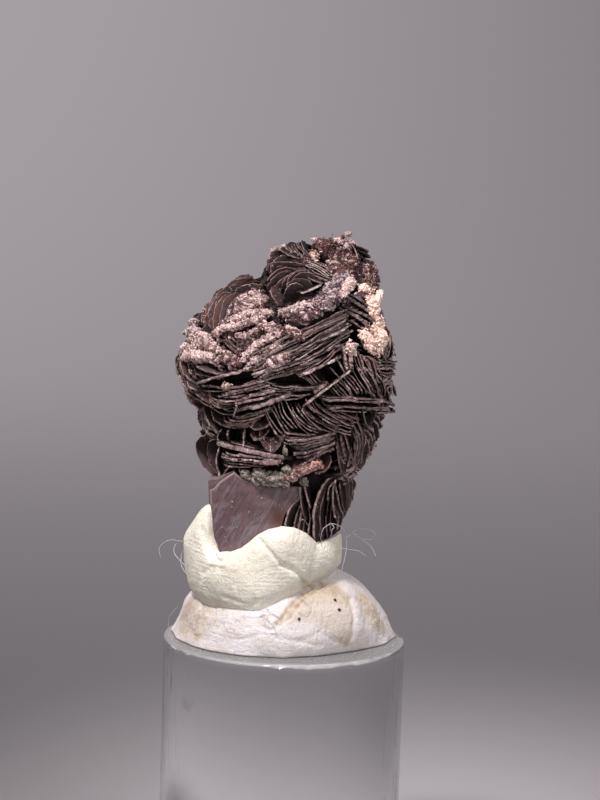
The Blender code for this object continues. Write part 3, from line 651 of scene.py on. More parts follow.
# How far plates stray: their edges in pixels, how far they stand out in millimetres, their tilt in degrees,
# and their dust and warmth
EDGE_JITTER, STRAY, TILT_STRAY, TONE_STRAY = 0.8, 0.22, 4, 0.12
# Families of three or more have their long edges broken into parts about this long, a little astray and
# overlapping by a share
PART_LENGTH, PART_STRAY, PART_OVERLAP, PART_END_STRAY = 2.6, 0.05, 0.12, 0.09
PART_COUNT_STRAY, MOST_PARTS, PART_LIMIT = 0.35, 3, 1.05
# The shares that the front plates' depths and thicknesses vary between, and how much they aim straight back
DEPTH_SHARES, THICK_SHARES, AIM_BACK = (0.8, 1.15), (0.75, 1.3), 0.65

# Books of two coarse plates at the sides and the back: sideways place and height; how their lines slant and
# their faces tilt, in degrees; half width and depth; how far apart they are and how far they stand out; the
# turn round the axis; and by how many degrees one line fans out from the next
Book = namedtuple("Book", "side height line tilt reach depth pitch proud turn fan", defaults=(0,))
SIDE_TURNS = (66, 115, 165, 215, 280)
SIDE_HEIGHTS = (14.6, 17.6, 20.6, 23.4, 26.2)
TOP_BOOK_HEIGHTS = (29.2, 31.0)
TOP_BOOK_TURNS = (120, 170, 220)
TOP_BOOK_SHIFT = 3.0
# Places that the solid leaves bare: the left side between two columns, and low round the back
MORE_BOOKS = ((236, 28.0), (226, 25.0), (264, 27.0), (112, 9.4), (150, 9.3), (190, 9.4), (228, 9.6),
              (280, 11.4), (248, 13.4), (250, 16.2), (246, 19.2), (250, 22.0), (248, 25.0), (92, 12.2),
              (92, 19.0), (92, 25.0), (128, 11.4), (166, 11.6), (204, 11.4), (238, 11.2))
# The limits that a book's values are drawn between: shift, lift, line, tilt, reach, depth, pitch, fan and
# proudness. A single number is taken as it is
SIDE_LIMITS = ((-0.8, 0.8), (-0.5, 0.5), (-38, 38), (-8, 12), (2.0, 2.7), (2.2, 2.8), 1.35, (-6, 6),
               (-0.4, 0.0))
TOP_LIMITS = (0, 0, (-30, 30), (0, 20), (1.4, 2.0), 1.8, 1.1, 0, (-0.2, 0.1))
MORE_LIMITS = ((-0.5, 0.5), 0, (-40, 40), (-5, 10), (1.9, 2.3), 2.2, 1.3, (-6, 6), -0.3)
# Every other column's lines lean the other way, and every other row is turned further
COLUMN_LEANS, ROW_TURNS = (-16, 16), (-4, 12)
# The seeds of the random draws
SIDE_SEED = 11
FRONT_SEED, LEAF_SEED, CRUST_SEED, DOT_SEED, FAR_SEED, LAYER_SEED, SPECK_SEED = 21, 5, 3, 8, 17, 4, 4
# The book whose place the smooth slab at the lower left takes
SLAB_BOOK = 4
# Each coarse plate of a book is several thin leaves here, bowed at their ends. They stray in place, in
# degrees along their line, in how far they stand out and in bend, and vary between the limits given
LEAVES, LEAF_BOW = 3, 0.35
STEP_STRAY, LINE_STRAY, PROUD_STRAY, BEND_STRAY = 0.12, 2.5, 0.15, 0.12
LEAF_DEPTHS, LEAF_REACHES, LEAF_THICK = (0.85, 1.1), (0.8, 1.0), (0.16, 0.27)
LEAF_DUST, LEAF_WARM = (0.1, 0.45), (0.1, 0.8)


def drawn_book(chance, limits, side, height, turn, line=0):
    """A book near a place, its values drawn between their limits."""
    shift, lift, slant, tilt, reach, depth, pitch, fan, proud = [
        chance.uniform(*limit) if isinstance(limit, tuple) else limit for limit in limits]
    return Book(side + shift, height + lift, line + slant, tilt, reach, depth, pitch, proud, turn, fan)


def side_books():
    """Books round the sides and back, drawn in the solid's order, so that they lie where its books do."""
    chance = random.Random(SIDE_SEED)
    books = []
    for row, height in enumerate(SIDE_HEIGHTS):
        for column, turn in enumerate(SIDE_TURNS):
            place = 0, height, turn + ROW_TURNS[row % 2]
            books.append(drawn_book(chance, SIDE_LIMITS, *place, COLUMN_LEANS[column % 2]))
    for height in TOP_BOOK_HEIGHTS:
        for turn in TOP_BOOK_TURNS:
            side = TOP_BOOK_SHIFT * math.cos(math.radians(turn))
            books.append(drawn_book(chance, TOP_LIMITS, side, height, turn))
    for turn, height in MORE_BOOKS:
        books.append(drawn_book(chance, MORE_LIMITS, 0, height, turn))
    del books[SLAB_BOOK]
    return books


Plates = namedtuple("Plates", "edges inward depth thick dust warm dark")


def facing(edges, tilts):
    """Which way each plate runs in from its edge: straight in, swung by its tilt to the edge's upper side."""
    middles = edges[:, 1]
    along = unit(edges[:, 2] - edges[:, 0])
    to_axis = unit(np.stack([-middles[:, 0], -middles[:, 1], np.zeros(len(edges))], -1))
    inside = unit(AIM_BACK * BACK + (1 - AIM_BACK) * to_axis)
    inside = unit(inside - along * (inside * along).sum(-1, keepdims=True))
    side = np.cross(along, inside)
    tilts = np.radians(tilts)[:, None]
    return inside * np.cos(tilts) + side * np.sin(tilts)


def broken(edges, rng):
    """Long edges broken into up to three overlapping parts, each at its shares (-1 to 1) of the parabola."""
    length = np.linalg.norm(edges[:, 2] - edges[:, 0], axis=1)
    parts = np.round(length / PART_LENGTH + rng.normal(0, PART_COUNT_STRAY, len(edges)))
    parts = np.clip(parts, 1, MOST_PARTS).astype(int)
    owner = np.repeat(np.arange(len(edges)), parts)
    place = np.arange(len(owner)) - np.repeat(np.cumsum(parts) - parts, parts)
    low = -1 + 2 * place / parts[owner] - PART_OVERLAP + rng.normal(0, PART_END_STRAY, len(owner))
    high = low + 2 / parts[owner] + 2 * PART_OVERLAP + rng.normal(0, PART_END_STRAY, len(owner))
    shares = np.clip(np.stack([low, (low + high) / 2, high], 1), -PART_LIMIT, PART_LIMIT)[..., None]
    start, middle, end = [edges[owner, i][:, None] for i in range(3)]
    spots = middle + (end - start) / 2 * shares + ((start + end) / 2 - middle) * shares ** 2
    stray = rng.normal(0, PART_STRAY, (len(owner), 1, 3)) * (parts[owner] > 1)[:, None, None]
    return spots + stray


def front_plates():
    """Every plate of the sweeps: its edge lies between the first and the last, a little astray."""
    rng = np.random.default_rng(FRONT_SEED)
    edges, tilts, rest = [], [], []
    for sweep in SWEEPS:
        shares = (np.arange(sweep.count) / max(1, sweep.count - 1))[:, None]
        ends = np.array(sweep.edges).reshape(-1, 6)
        pixels = ends[0] * (1 - shares) + ends[-1] * shares
        pixels = pixels + rng.normal(0, sweep.loose * EDGE_JITTER, pixels.shape)
        proud = sweep.proud + rng.normal(0, STRAY * min(sweep.loose, 1), (sweep.count, 1))
        family = on_specimen(pixels.reshape(-1, 3, 2), proud)
        if sweep.count > 2:
            family = broken(family, rng)
        count = len(family)
        edges.append(family)
        tilts.append(sweep.tilt + rng.normal(0, TILT_STRAY, count))
        rest.append(np.stack([sweep.depth * rng.uniform(*DEPTH_SHARES, count),
                              sweep.thick * rng.uniform(*THICK_SHARES, count),
                              sweep.dust + rng.normal(0, TONE_STRAY, count),
                              sweep.warm + rng.normal(0, TONE_STRAY, count), np.full(count, sweep.dark)], -1))
    edges = np.concatenate(edges)
    return Plates(edges, facing(edges, np.concatenate(tilts)), *np.concatenate(rest).T)


def side_plates():
    """The plates of the side books, thin ones in place of each coarse one."""
    rng = np.random.default_rng(LEAF_SEED)
    edges, inward, rest = [], [], []
    for book in side_books():
        count, pitch = 2 * LEAVES, book.pitch / LEAVES
        steps = (np.arange(count) - (count - 1) / 2) + rng.normal(0, STEP_STRAY, count)
        line = np.radians(book.line + steps * book.fan / LEAVES + rng.normal(0, LINE_STRAY, count))
        tilt = np.radians(book.tilt + rng.normal(0, TILT_STRAY, count))
        side = book.side - steps * pitch * np.sin(line)
        height = book.height + steps * pitch * np.cos(line)
        turn = math.radians(book.turn)
        side_way, viewer_way = ways_at(turn)
        along = side_way * np.cos(line)[:, None] + SKY * np.sin(line)[:, None]
        across = -side_way * np.sin(line)[:, None] + SKY * np.cos(line)[:, None]
        middle = on_side(turn, side, height, book.proud + rng.normal(0, PROUD_STRAY, count))
        bend = rng.normal(0, BEND_STRAY, (count, 1))
        half = along * (book.reach * rng.uniform(*LEAF_REACHES, (count, 1)))
        ends = viewer_way * -LEAF_BOW + across * bend
        edges.append(np.stack([middle - half + ends, middle, middle + half + ends], 1))
        inward.append(across * np.sin(tilt)[:, None] - viewer_way * np.cos(tilt)[:, None])
        rest.append(np.stack([book.depth * rng.uniform(*LEAF_DEPTHS, count), rng.uniform(*LEAF_THICK, count),
                              rng.uniform(*LEAF_DUST, count), rng.uniform(*LEAF_WARM, count),
                              np.zeros(count)], -1))
    return Plates(np.concatenate(edges), np.concatenate(inward), *np.concatenate(rest).T)


# A plate's rows: share of its reach, share of its thickness above the middle, and share of the rim's lighter
# colour, which is partly a painted highlight and partly dust
PLATE_ROWS = ((0.5, -0.5, 0.0), (0.95, -0.5, 0.0), (0.972, -0.5, 0.8), (1.0, -0.38, 1.0),
              (1.0, 0.38, 1.0), (0.972, 0.5, 0.8), (0.95, 0.5, 0.0), (0.5, 0.5, 0.0))
SQUARENESS = 3.2
# Its points round the rim are moved towards its sides; its waves, their size and fade; its chips; how far it
# bends out of its plane; and how its thickness varies
RIM_SHIFT, RIM_WAVES, WAVE_SIZE, WAVE_FADE, CHIP = 0.45, np.arange(2, 26), 0.032, 0.4, 0.014
PLATE_WAVE, THICK_WAVE, THICK_LIMITS = 0.10, 3.0, (0.5, 1.6)

# From which share out the rim is chipped, the plates' waves, and the painted shade of the places behind the
# edge: how fast it grows with their depth, where it starts, its most, and its share at the plates' middles
CHIP_FROM, PLATE_WAVES = 0.8, (4.0, 0.8, 77)
GAP_SHADE_SLOPE, GAP_SHADE_START, GAP_SHADE_MOST, GAP_SHADE_POLE = 1.4, 0.1, 0.75, 0.7


def plate_shape(plates, around, seed):
    """Thin closed plates, each a squarish disc with its front edge on a parabola through three points.

    Round the disc, the along and inner places are the cosine and sine to the power 2/SQUARENESS, roughened
    by waves and chips. The rows run from the middle of the lower face, over the rim, to the upper face.
    """
    rng = np.random.default_rng(seed)
    count = len(plates.edges)
    angle = np.linspace(0, TURN, around, endpoint=False)
    angle = angle + RIM_SHIFT * np.cos(angle)
    sizes = rng.normal(0, WAVE_SIZE, (count, len(RIM_WAVES))) / RIM_WAVES ** WAVE_FADE
    starts = rng.uniform(0, TURN, (count, len(RIM_WAVES)))
    rough = (sizes[..., None] * np.cos(RIM_WAVES[:, None] * angle + starts[..., None])).sum(1)
    chips = rng.normal(0, CHIP, (count, len(PLATE_ROWS), around))
    share, lift, rim_share = np.array(PLATE_ROWS).T[:, :, None]
    reach = share * (1 + rough[:, None] + chips * (share > CHIP_FROM))
    along, inner = [np.sign(wave) * np.abs(wave) ** (2 / SQUARENESS) * reach
                    for wave in (np.cos(angle), np.sin(angle))]

    start, middle, end = [plates.edges[:, i][:, None, None] for i in range(3)]
    half, bend = (end - start) / 2, (start + end) / 2 - middle
    normal = unit(np.cross(half[:, 0, 0], plates.inward))[:, None, None]
    inward = plates.inward[:, None, None]

    def place(s, q):
        """The plate's middle sheet: s along the edge, q from its front edge (1) to its back (-1)."""
        spot = middle + half * s[..., None] + bend * (s * s)[..., None]
        spot = spot + inward * (plates.depth[:, None, None] * (1 - q) / 2)[..., None]
        return spot + normal * (ripple(spot, *PLATE_WAVES) * PLATE_WAVE)[..., None]

    thick = plates.thick[:, None, None] * np.clip(1 + THICK_WAVE * rough[:, None], *THICK_LIMITS)
    rings = place(along, inner) + normal * (lift * thick)[..., None]
    hub = place(np.zeros((count, 1, 1)), np.zeros((count, 1, 1)))[:, 0, 0]
    step = normal[:, 0, 0] * plates.thick[:, None] / 2
    rim = rim_share * np.ones((count, 1, around))
    # Painted shade: faces darken with their depth behind the front edge and by each plate's extra shade, but
    # not on the rim
    deep = np.clip(GAP_SHADE_SLOPE * (1 - inner) - GAP_SHADE_START, 0, GAP_SHADE_MOST)
    deep = deep + plates.dark[:, None, None] * (1 - rim)
    marks = np.stack([rim, np.broadcast_to(plates.dust[:, None, None], rim.shape),
                      np.broadcast_to(plates.warm[:, None, None], rim.shape), deep], -1)
    poles = np.stack([np.zeros(count), plates.dust, plates.warm, GAP_SHADE_POLE + plates.dark], -1)
    return shells(rings, hub - step, hub + step, np.clip(marks, 0, 1), np.clip(poles, 0, 1))


# The core's marks give it painted shade, so that it shows near black behind the plates
CORE_MARK, CORE_RELIEF = (0.1, 0.3, 0.4, 0.6), 0.4
CORE_AROUND, CORE_ROWS, CORE_WAVES = 110, 70, (3.0, 0.4, 31)


def core_shape():
    """The body behind the plates, darkened with painted shade: the outline at each height, pulled in and
    roughened.
    """
    heights = np.linspace(HEIGHTS[0], HEIGHTS[-1], CORE_ROWS)
    angle = np.linspace(0, TURN, CORE_AROUND, endpoint=False)
    left, right, front, back = outline_at(heights)
    inset = np.interp(heights, HEIGHTS, CORE_INSETS)[:, None]
    middle, half = ((left + right) / 2)[:, None], ((right - left) / 2)[:, None] - inset
    deep = np.where(np.cos(angle) > 0, front[:, None], back[:, None]) - inset
    ring = np.stack([middle + half * np.sin(angle), -deep * np.cos(angle),
                     heights[:, None] * np.ones(len(angle))], -1)
    ring = ring + unit(ring * (1, 1, 0)) * (ripple(ring, *CORE_WAVES) * CORE_RELIEF)[..., None]
    return skin(ring, np.broadcast_to(CORE_MARK, ring.shape[:2] + (4,)), CORE_MARK)


# Lumps and grains

Lump = namedtuple("Lump", "pixel radii slant proud rough marks")
# Masses under the grains, with the crust's marks: pixel, half sizes in millimetres, slant in degrees, how far
# the middle stands out and how rough it is
BED_TONE, CREAM_TONE, GREEN_TONE = (0.0, 0.1, 0.2, 0.0), (0.0, 0.75, 1.0, 0.0), (1.0, 0.55, 0.0, 1.0)
LUMPS = {
    BED_TONE: (((246, 304), (1.3, 0.9, 0.9), 20, -1.0, 0.16), ((204, 342), (1.0, 0.9, 0.8), -30, -1.1, 0.16),
               ((338, 257), (1.6, 1.8, 1.4), 0, -2.3, 0.16), ((350, 262), (0.8, 1.2, 0.9), 0, -1.4, 0.16),
               ((322, 248), (0.9, 1.2, 0.8), 0, -1.5, 0.16)),
    CREAM_TONE: (((376, 304), (0.4, 0.8, 1.2), -14, -0.7, 0.2), ((374, 339), (0.9, 0.9, 1.0), -6, -0.8, 0.2)),
    # Shell-like lumps over the big crystal
    GREEN_TONE: (((247, 475), (0.56, 0.5, 0.34), -22, 0.0, 0.34),
                 ((260, 475), (0.66, 0.5, 0.46), -30, 0.1, 0.30),
                 ((277, 478), (0.80, 0.5, 0.46), 14, 0.1, 0.36),
                 ((287, 471), (0.34, 0.4, 0.46), 20, 0.2, 0.40),
                 ((285, 451), (0.18, 0.3, 0.36), 10, 0.2, 0.40),
                 ((304, 482), (0.34, 0.4, 0.30), -40, -0.1, 0.40)),
}
BEDS = [Lump(*row, tone) for tone, rows in LUMPS.items() for row in rows]
# Waves on the lumps, longest and shortest, and the share and waves of finer ones
LUMP_WAVES, FINE_SHARE, FINE_WAVES = (1.3, 0.3), 0.5, (0.3, 0.12)


def lump_shape(lumps, seed, rows=22, around=40):
    """Rough eggs: the unit ball pushed in and out by waves, stretched to each lump's half sizes, slanted."""
    slope = np.linspace(0, math.pi, rows + 2)[1:-1][:, None]
    angle = np.linspace(0, TURN, around, endpoint=False)
    ball = np.stack([np.sin(slope) * np.cos(angle), np.sin(slope) * np.sin(angle),
                     -np.cos(slope) * np.ones(around)], -1)
    ball = np.concatenate([ball.reshape(-1, 3), [[0, 0, -1], [0, 0, 1]]])
    rings, lows, highs, marks = [], [], [], []
    for i, item in enumerate(lumps):
        fine = FINE_SHARE * ripple(ball, *FINE_WAVES, seed - i)
        push = 1 + item.rough * (ripple(ball, *LUMP_WAVES, seed + i) + fine)
        slant = math.radians(item.slant)
        spots = ball * push[:, None] * item.radii
        spots = np.stack([spots[:, 0] * math.cos(slant) - spots[:, 2] * math.sin(slant), spots[:, 1],
                          spots[:, 0] * math.sin(slant) + spots[:, 2] * math.cos(slant)], -1)
        spots = spots + on_specimen(np.array([item.pixel], float), item.proud)[0]
        rings.append(spots[:-2].reshape(rows, around, 3))
        lows.append(spots[-2])
        highs.append(spots[-1])
        marks.append(item.marks)
    marks = np.array(marks)
    spread = np.broadcast_to(marks[:, None, None], (len(lumps), rows, around, 4))
    return shells(np.array(rings), np.array(lows), np.array(highs), spread, marks)


Ridge = namedtuple("Ridge", "path width count size pale cream proud cold salmon",
                   defaults=(0.0, 0.1, 0.0, 0.0))
# Crusts of grains on the front: each path and half width in pixels, how many grains and how large in
# millimetres, how pale and how cream, how far they stand out, how cold (lavender grey) and how salmon pink
RIDGES = [Ridge(*row) for row in (
    # Low brown ground between the ridges
    ([(226, 332), (243, 315), (263, 303)], 10, 1170, 0.14, 0.3, 0.0, -0.35),
    ([(238, 354), (256, 340), (276, 328)], 9, 780, 0.14, 0.3, 0.0, -0.35),
    ([(284, 317), (310, 309), (340, 294)], 8, 910, 0.13, 0.35, 0.0, -0.25, 0.4),
    ([(189, 347), (212, 352), (232, 360)], 8, 780, 0.14, 0.45, 0.0, -0.3),
    ([(332, 246), (342, 262), (352, 272)], 12, 1170, 0.14, 0.12, 0.0, -0.5),
    # Beside the petals, and the slanting ridges under them
    ([(240, 307), (248, 301), (258, 296)], 7, 870, 0.19, 0.62),
    ([(229, 321), (241, 317), (254, 314), (269, 313)], 4, 580, 0.18, 0.75, 0.0, 0.2),
    ([(213, 335), (225, 328), (238, 326), (251, 321), (266, 315)], 3, 490, 0.16, 0.8, 0.0, 0.3),
    ([(260, 306), (264, 297)], 4, 140, 0.14, 0.15),
    ([(240, 334), (241, 342)], 2.5, 80, 0.15, 0.6, 0.0, 0.3),
    ([(245, 336), (252, 332), (268, 324)], 2, 180, 0.14, 0.6, 0.0, 0.3),
    ([(268, 327), (277, 332)], 4, 170, 0.16, 0.6, 0.0, 0.2),
    ([(243, 360), (255, 347), (266, 340), (279, 334)], 3.5, 550, 0.16, 0.75, 0.0, 0.3),
    ([(260, 355), (271, 349), (280, 343)], 3.5, 290, 0.15, 0.55, 0.0, 0.2),
    ([(246, 369), (252, 361), (264, 357)], 3, 250, 0.15, 0.6, 0.0, 0.3),
    ([(264, 366), (280, 360), (292, 355)], 2.5, 250, 0.13, 0.45, 0.0, 0.3),
    ([(282, 330), (291, 335), (302, 336)], 5, 460, 0.14, 0.2, 0.0, 0.1),
    # The left crust
    ([(195, 338), (204, 341), (213, 346)], 7, 620, 0.18, 0.92, 0.1),
    ([(185, 350), (190, 346)], 4, 130, 0.15, 0.75),
    ([(183, 356), (200, 356), (216, 358)], 4, 550, 0.16, 0.9, 0.1, 0.2),
    ([(218, 355), (228, 359), (237, 364)], 6, 550, 0.14, 0.38),
    ([(190, 322), (197, 324)], 3, 60, 0.13, 0.5, 0.0, -0.8, 0.3),
    ([(187, 333), (194, 330), (199, 335)], 4, 220, 0.15, 0.95, 0.0, -0.6, 0.6),
    # The lavender band and its white patch
    ([(281, 313), (292, 311), (303, 307), (313, 303), (320, 300)], 4, 550, 0.15, 0.62, 0.0, 0.2, 0.1),
    ([(321, 297), (328, 288), (338, 281), (348, 276)], 4.5, 550, 0.14, 0.5, 0.0, 0.1, 0.8),
    ([(323, 307), (333, 299), (341, 290)], 6, 550, 0.14, 0.42, 0.0, 0.1, 0.7),
    ([(343, 295), (347, 287), (352, 281)], 4.5, 270, 0.21, 1.0, 0.2, 0.3),
    ([(345, 301), (356, 298), (368, 293)], 5, 340, 0.1, 0.12, 0.0, 0.0, 0.7),
    ([(290, 318), (305, 318), (318, 312)], 5, 460, 0.11, 0.28, 0.0, 0.0, 0.2),
    # The knob
    ([(348, 257), (350, 267)], 8, 790, 0.15, 0.12, 0.0, -0.1),
    ([(322, 244), (325, 253)], 5.5, 380, 0.15, 0.1, 0.0, -0.4),
    ([(335, 252), (337, 261), (334, 270)], 6, 460, 0.14, 0.08, 0.0, -0.4),
    ([(326, 268), (338, 274), (350, 275)], 4, 290, 0.14, 0.2, 0.0, 0.0),
    ([(335, 243), (342, 242)], 3, 130, 0.17, 0.9, 0.0, -0.5),
    ([(345, 236), (350, 234)], 2, 50, 0.14, 1.0, 0.0, -0.5, 0.4, 0.3),
    ([(345, 248), (353, 243)], 2.6, 100, 0.16, 0.8, 0.0, -0.1),
    ([(312, 253), (316, 260)], 3.5, 170, 0.14, 0.6, 0.9, -0.1),
    ([(313, 241), (317, 240)], 2, 20, 0.13, 0.6, 0.0, -0.7),
    ([(369, 265), (372, 285)], 5.5, 490, 0.13, 0.25, 0.0, 0.3),
    ([(272, 252), (275, 249)], 2, 50, 0.14, 0.6, 0.3, -0.6),
    ([(281, 247), (286, 247)], 1.2, 20, 0.12, 0.8, 0.0, -0.6),
    # The cream chunk
    ([(361, 288), (373, 289)], 3.5, 210, 0.16, 0.95, 0.8, 0.2),
    ([(369, 297), (372, 307), (377, 317)], 4.5, 490, 0.14, 0.98, 1.0, 0.2),
    ([(378, 318), (381, 327)], 4, 230, 0.14, 0.95, 1.0, 0.1),
    ([(363, 331), (368, 340), (372, 349)], 5, 550, 0.14, 1.0, 1.0, 0.2),
    ([(375, 328), (380, 338), (378, 351)], 6.5, 790, 0.14, 1.0, 1.0, 0.1),
    # Crumbs
    ([(350, 343), (351, 353)], 4, 130, 0.16, 0.9, 0.4, 0.4),
    ([(223, 386), (230, 386)], 3, 80, 0.13, 0.8, 0.3, 0.4),
    ([(283, 479), (292, 476), (303, 471)], 3.2, 300, 0.1, 0.62, 0.0, 0.45, 0.0, 0.45),
    ([(301, 472), (311, 468), (321, 463)], 3.2, 300, 0.1, 0.8, 0.0, 0.45, 0.0, 0.85),
    # Greenish crumbs on the lumps over the big crystal
    ([(242, 474), (266, 480), (290, 482)], 5, 160, 0.09, 0.6, 0.0, 0.2, 1.0, 1.0),
    ([(262, 459), (280, 463)], 3, 70, 0.1, 0.5, 0.0, 0.3, 1.0, 1.0),
)]
# A mound under each ridge's grains: how far back its middle lies, its height and its relief in millimetres
MOUND_BACK, MOUND_HEIGHT, MOUND_RELIEF = 0.28, 0.42, 0.28
# How far it bulges past its ridge's width, its ends as shares, its bumps' and its swells' wave lengths
MOUND_SPREAD, MOUND_END, BUMP_LENGTHS, SWELL_LENGTHS, SWELL = 1.1, 0.98, (1.2, 0.35), (2.4, 1.2), 0.6
# Its rows and points round, how far it sinks, how much darker it is than its ridge, and how much paler it
# grows with the bumps' height, which paints shade into the creases
MOUND_ROWS, MOUND_AROUND, MOUND_SUNK, MOUND_DARKER, CREASE_SHADE = 44, 36, 0.06, 0.45, 1.6
# Grains: the largest on the front and at the back, and how far the paleness and the cream stray
LARGEST_GRAIN, LARGEST_FAR_GRAIN, PALE_STRAY, CREAM_STRAY = 0.5, 0.4, 0.3, 0.1


def along_path(ridge, shares):
    """The pixels at those shares of the ridge's path."""
    path = np.array(ridge.path, float)
    steps = np.linalg.norm(np.diff(path, axis=0), axis=1)
    run = np.concatenate([[0], np.cumsum(steps)]) / steps.sum()
    return np.stack([np.interp(shares, run, path[:, 0]), np.interp(shares, run, path[:, 1])], -1)


def mound_shape():
    """Long mounds under the grains: an ellipse carried along each path, smaller towards both ends.

    The bare value of a wavy relief makes round bumps with sharp dark creases between them, and the colour
    grows paler with the bumps' height, which paints shade into the creases.
    """
    angle = np.linspace(0, TURN, MOUND_AROUND, endpoint=False)
    places = np.linspace(-MOUND_END, MOUND_END, MOUND_ROWS)
    taper = (1 - places ** 4)[:, None, None] ** 0.5
    rings, lows, highs, marks = [], [], [], []
    for ridge in RIDGES:
        middle = on_specimen(along_path(ridge, (places + 1) / 2), ridge.proud - MOUND_BACK)
        along = unit(np.gradient(middle, axis=0))
        first = unit(np.cross(along, BACK))[:, None]
        second = np.cross(along, first[:, 0])[:, None]
        wide = MOUND_SPREAD * ridge.width * abs(CAMERA_PLACE[1]) / FOCAL
        cosine, sine = np.cos(angle)[:, None], np.sin(angle)[:, None]
        ring = middle[:, None] + (first * cosine * wide + second * sine * MOUND_HEIGHT) * taper
        outward = unit(first * cosine * MOUND_HEIGHT + second * sine * wide)
        bumps = np.abs(ripple(ring, *BUMP_LENGTHS, 301, 0.3))
        relief = bumps + SWELL * ripple(ring, *SWELL_LENGTHS, 302)
        ring = ring + outward * (relief[..., None] * MOUND_RELIEF - MOUND_SUNK)
        # Painted shade: the creases between bumps are darker and the bump tops paler
        tone = [np.full(bumps.shape, ridge.cold), ridge.pale - MOUND_DARKER + CREASE_SHADE * bumps,
                np.full(bumps.shape, ridge.cream), np.full(bumps.shape, ridge.salmon)]
        rings.append(ring)
        marks.append(np.clip(np.stack(tone, -1), 0, 1))
        lows.append(ring[0].mean(0))
        highs.append(ring[-1].mean(0))
    marks = np.array(marks)
    return shells(np.array(rings), np.array(lows), np.array(highs), marks, marks[:, 0, 0])


# How much a grain's corners and sides vary, and the shares of its size that its corners lie from its middle
BLOCK_CORNERS, BLOCK_STRETCH, BLOCK_SIZE = (0.65, 1.35), (0.6, 1.4), 0.6
# The ridges' grains: how they stray to the side and up, and the middle and spread of the sizes' logarithm
ASIDE_STRAY, RISE_STRAY, SIZE_SPREAD = 0.5, 0.07, (-0.06, 0.52)
# The far grains: how flat their places are, how proud, and their size and its spread
FAR_FLATNESS, FAR_PROUD, FAR_SIZE, FAR_SIZE_SPREAD = 0.6, (-0.2, 0.14), 0.17, 0.4
# The crumbs: how far to the front an edge has to lie, the least dust that counts, paleness and sizes; and the
# share of points that have one, with the seed
CRUMB_FRONT, LEAST_DUST, CRUMB_PALE, CRUMB_SIZES = 0.2, 0.05, (0.1, 0.25), (0.05, 0.15)
FRONT_CRUMBS, SIDE_CRUMBS = (0.10, 71), (0.12, 72)
# A grain's six corners and eight faces
CORNERS = np.array([(1, 0, 0), (0, 1, 0), (0, 0, 1), (-1, 0, 0), (0, -1, 0), (0, 0, -1)], float)
FACES = np.array([(0, 1, 2), (1, 3, 2), (3, 4, 2), (4, 0, 2), (1, 0, 5), (3, 1, 5), (4, 3, 5), (0, 4, 5)])


def turns_of(rng, count):
    """Random turns: each a matrix from three random directions made square to each other."""
    first = unit(rng.normal(size=(count, 3)))
    second = unit(np.cross(first, rng.normal(size=(count, 3))))
    return np.stack([first, second, np.cross(first, second)], 1)


def grain_shape(centres, sizes, rng, pale, cream=0, cold=0, salmon=0):
    """Rough little blocks: eight-sided solids, stretched, turned, each corner pushed in or out."""
    count = len(centres)
    blocks = CORNERS * rng.uniform(*BLOCK_CORNERS, (count, 6, 1)) * rng.uniform(*BLOCK_STRETCH, (count, 1, 3))
    blocks = np.einsum("nij,nkj->nik", blocks * sizes[:, None, None] * BLOCK_SIZE, turns_of(rng, count))
    points = (blocks + centres[:, None]).reshape(-1, 3)
    triangles = (FACES + 6 * np.arange(count)[:, None, None]).reshape(-1, 3)
    marks = np.stack(np.broadcast_arrays(cold, pale, cream, salmon + np.zeros(count)), -1)
    return Shape(points, np.zeros((0, 4), int), triangles, np.repeat(np.clip(marks, 0, 1), 6, axis=0))


def crust_shapes():
    """The ridges' grains: a random place along each path, and to its side by a bell curve, on its mound."""
    rng = np.random.default_rng(CRUST_SEED)
    shapes = []
    for ridge in RIDGES:
        count = ridge.count
        aside = np.clip(rng.normal(0, ASIDE_STRAY, (count, 2)), -1, 1)
        pixels = along_path(ridge, rng.uniform(0, 1, count)) + aside * ridge.width
        rise = np.sqrt(np.clip(1 - (aside ** 2).sum(1), 0, 1)) * MOUND_HEIGHT
        proud = ridge.proud - MOUND_BACK + rise + rng.normal(0, RISE_STRAY, count)
        sizes = np.minimum(ridge.size * np.exp(rng.normal(*SIZE_SPREAD, count)), LARGEST_GRAIN)
        pale = ridge.pale + rng.normal(0, PALE_STRAY, count)
        cream = ridge.cream + rng.normal(0, CREAM_STRAY, count)
        centres = on_specimen(pixels, proud)
        shapes.append(grain_shape(centres, sizes, rng, pale, cream, ridge.cold, ridge.salmon))
    return shapes


DOT_PIXELS = [(224, 496), (232, 502), (224, 505), (232, 507), (238, 522), (236, 527), (222, 527), (227, 530),
              (231, 529), (234, 528), (225, 537), (226, 541), (279, 505), (282, 509), (262, 498), (249, 512)]
DOT_RISE, DOT_SIZES, DOT_PALE = 0.12, (0.05, 0.12), 1.2


def dot_shape():
    """White dots of dust on the big crystal's face."""
    rng = np.random.default_rng(DOT_SEED)
    pixels = np.array(DOT_PIXELS, float)
    count = len(pixels)
    centres = seen(pixels, np.full(count, CRYSTAL_FRONT - DOT_RISE))
    return grain_shape(centres, rng.uniform(*DOT_SIZES, count), rng, DOT_PALE)


# Crusts on the sides and the back: turn, sideways place, height, spread in millimetres, grains and paleness
FAR_CRUSTS = ((104, 0.5, 24.0, 0.8, 260, 0.7), (152, -1.2, 27.4, 0.7, 220, 0.6),
              (176, 0.8, 19.2, 0.9, 300, 0.35), (214, -0.6, 22.6, 0.8, 260, 0.75),
              (236, 0.4, 27.0, 0.8, 260, 0.6), (252, 0.0, 18.0, 0.7, 180, 0.5),
              (196, 1.4, 14.6, 0.6, 160, 0.6), (90, 0.6, 15.8, 0.6, 160, 0.6))


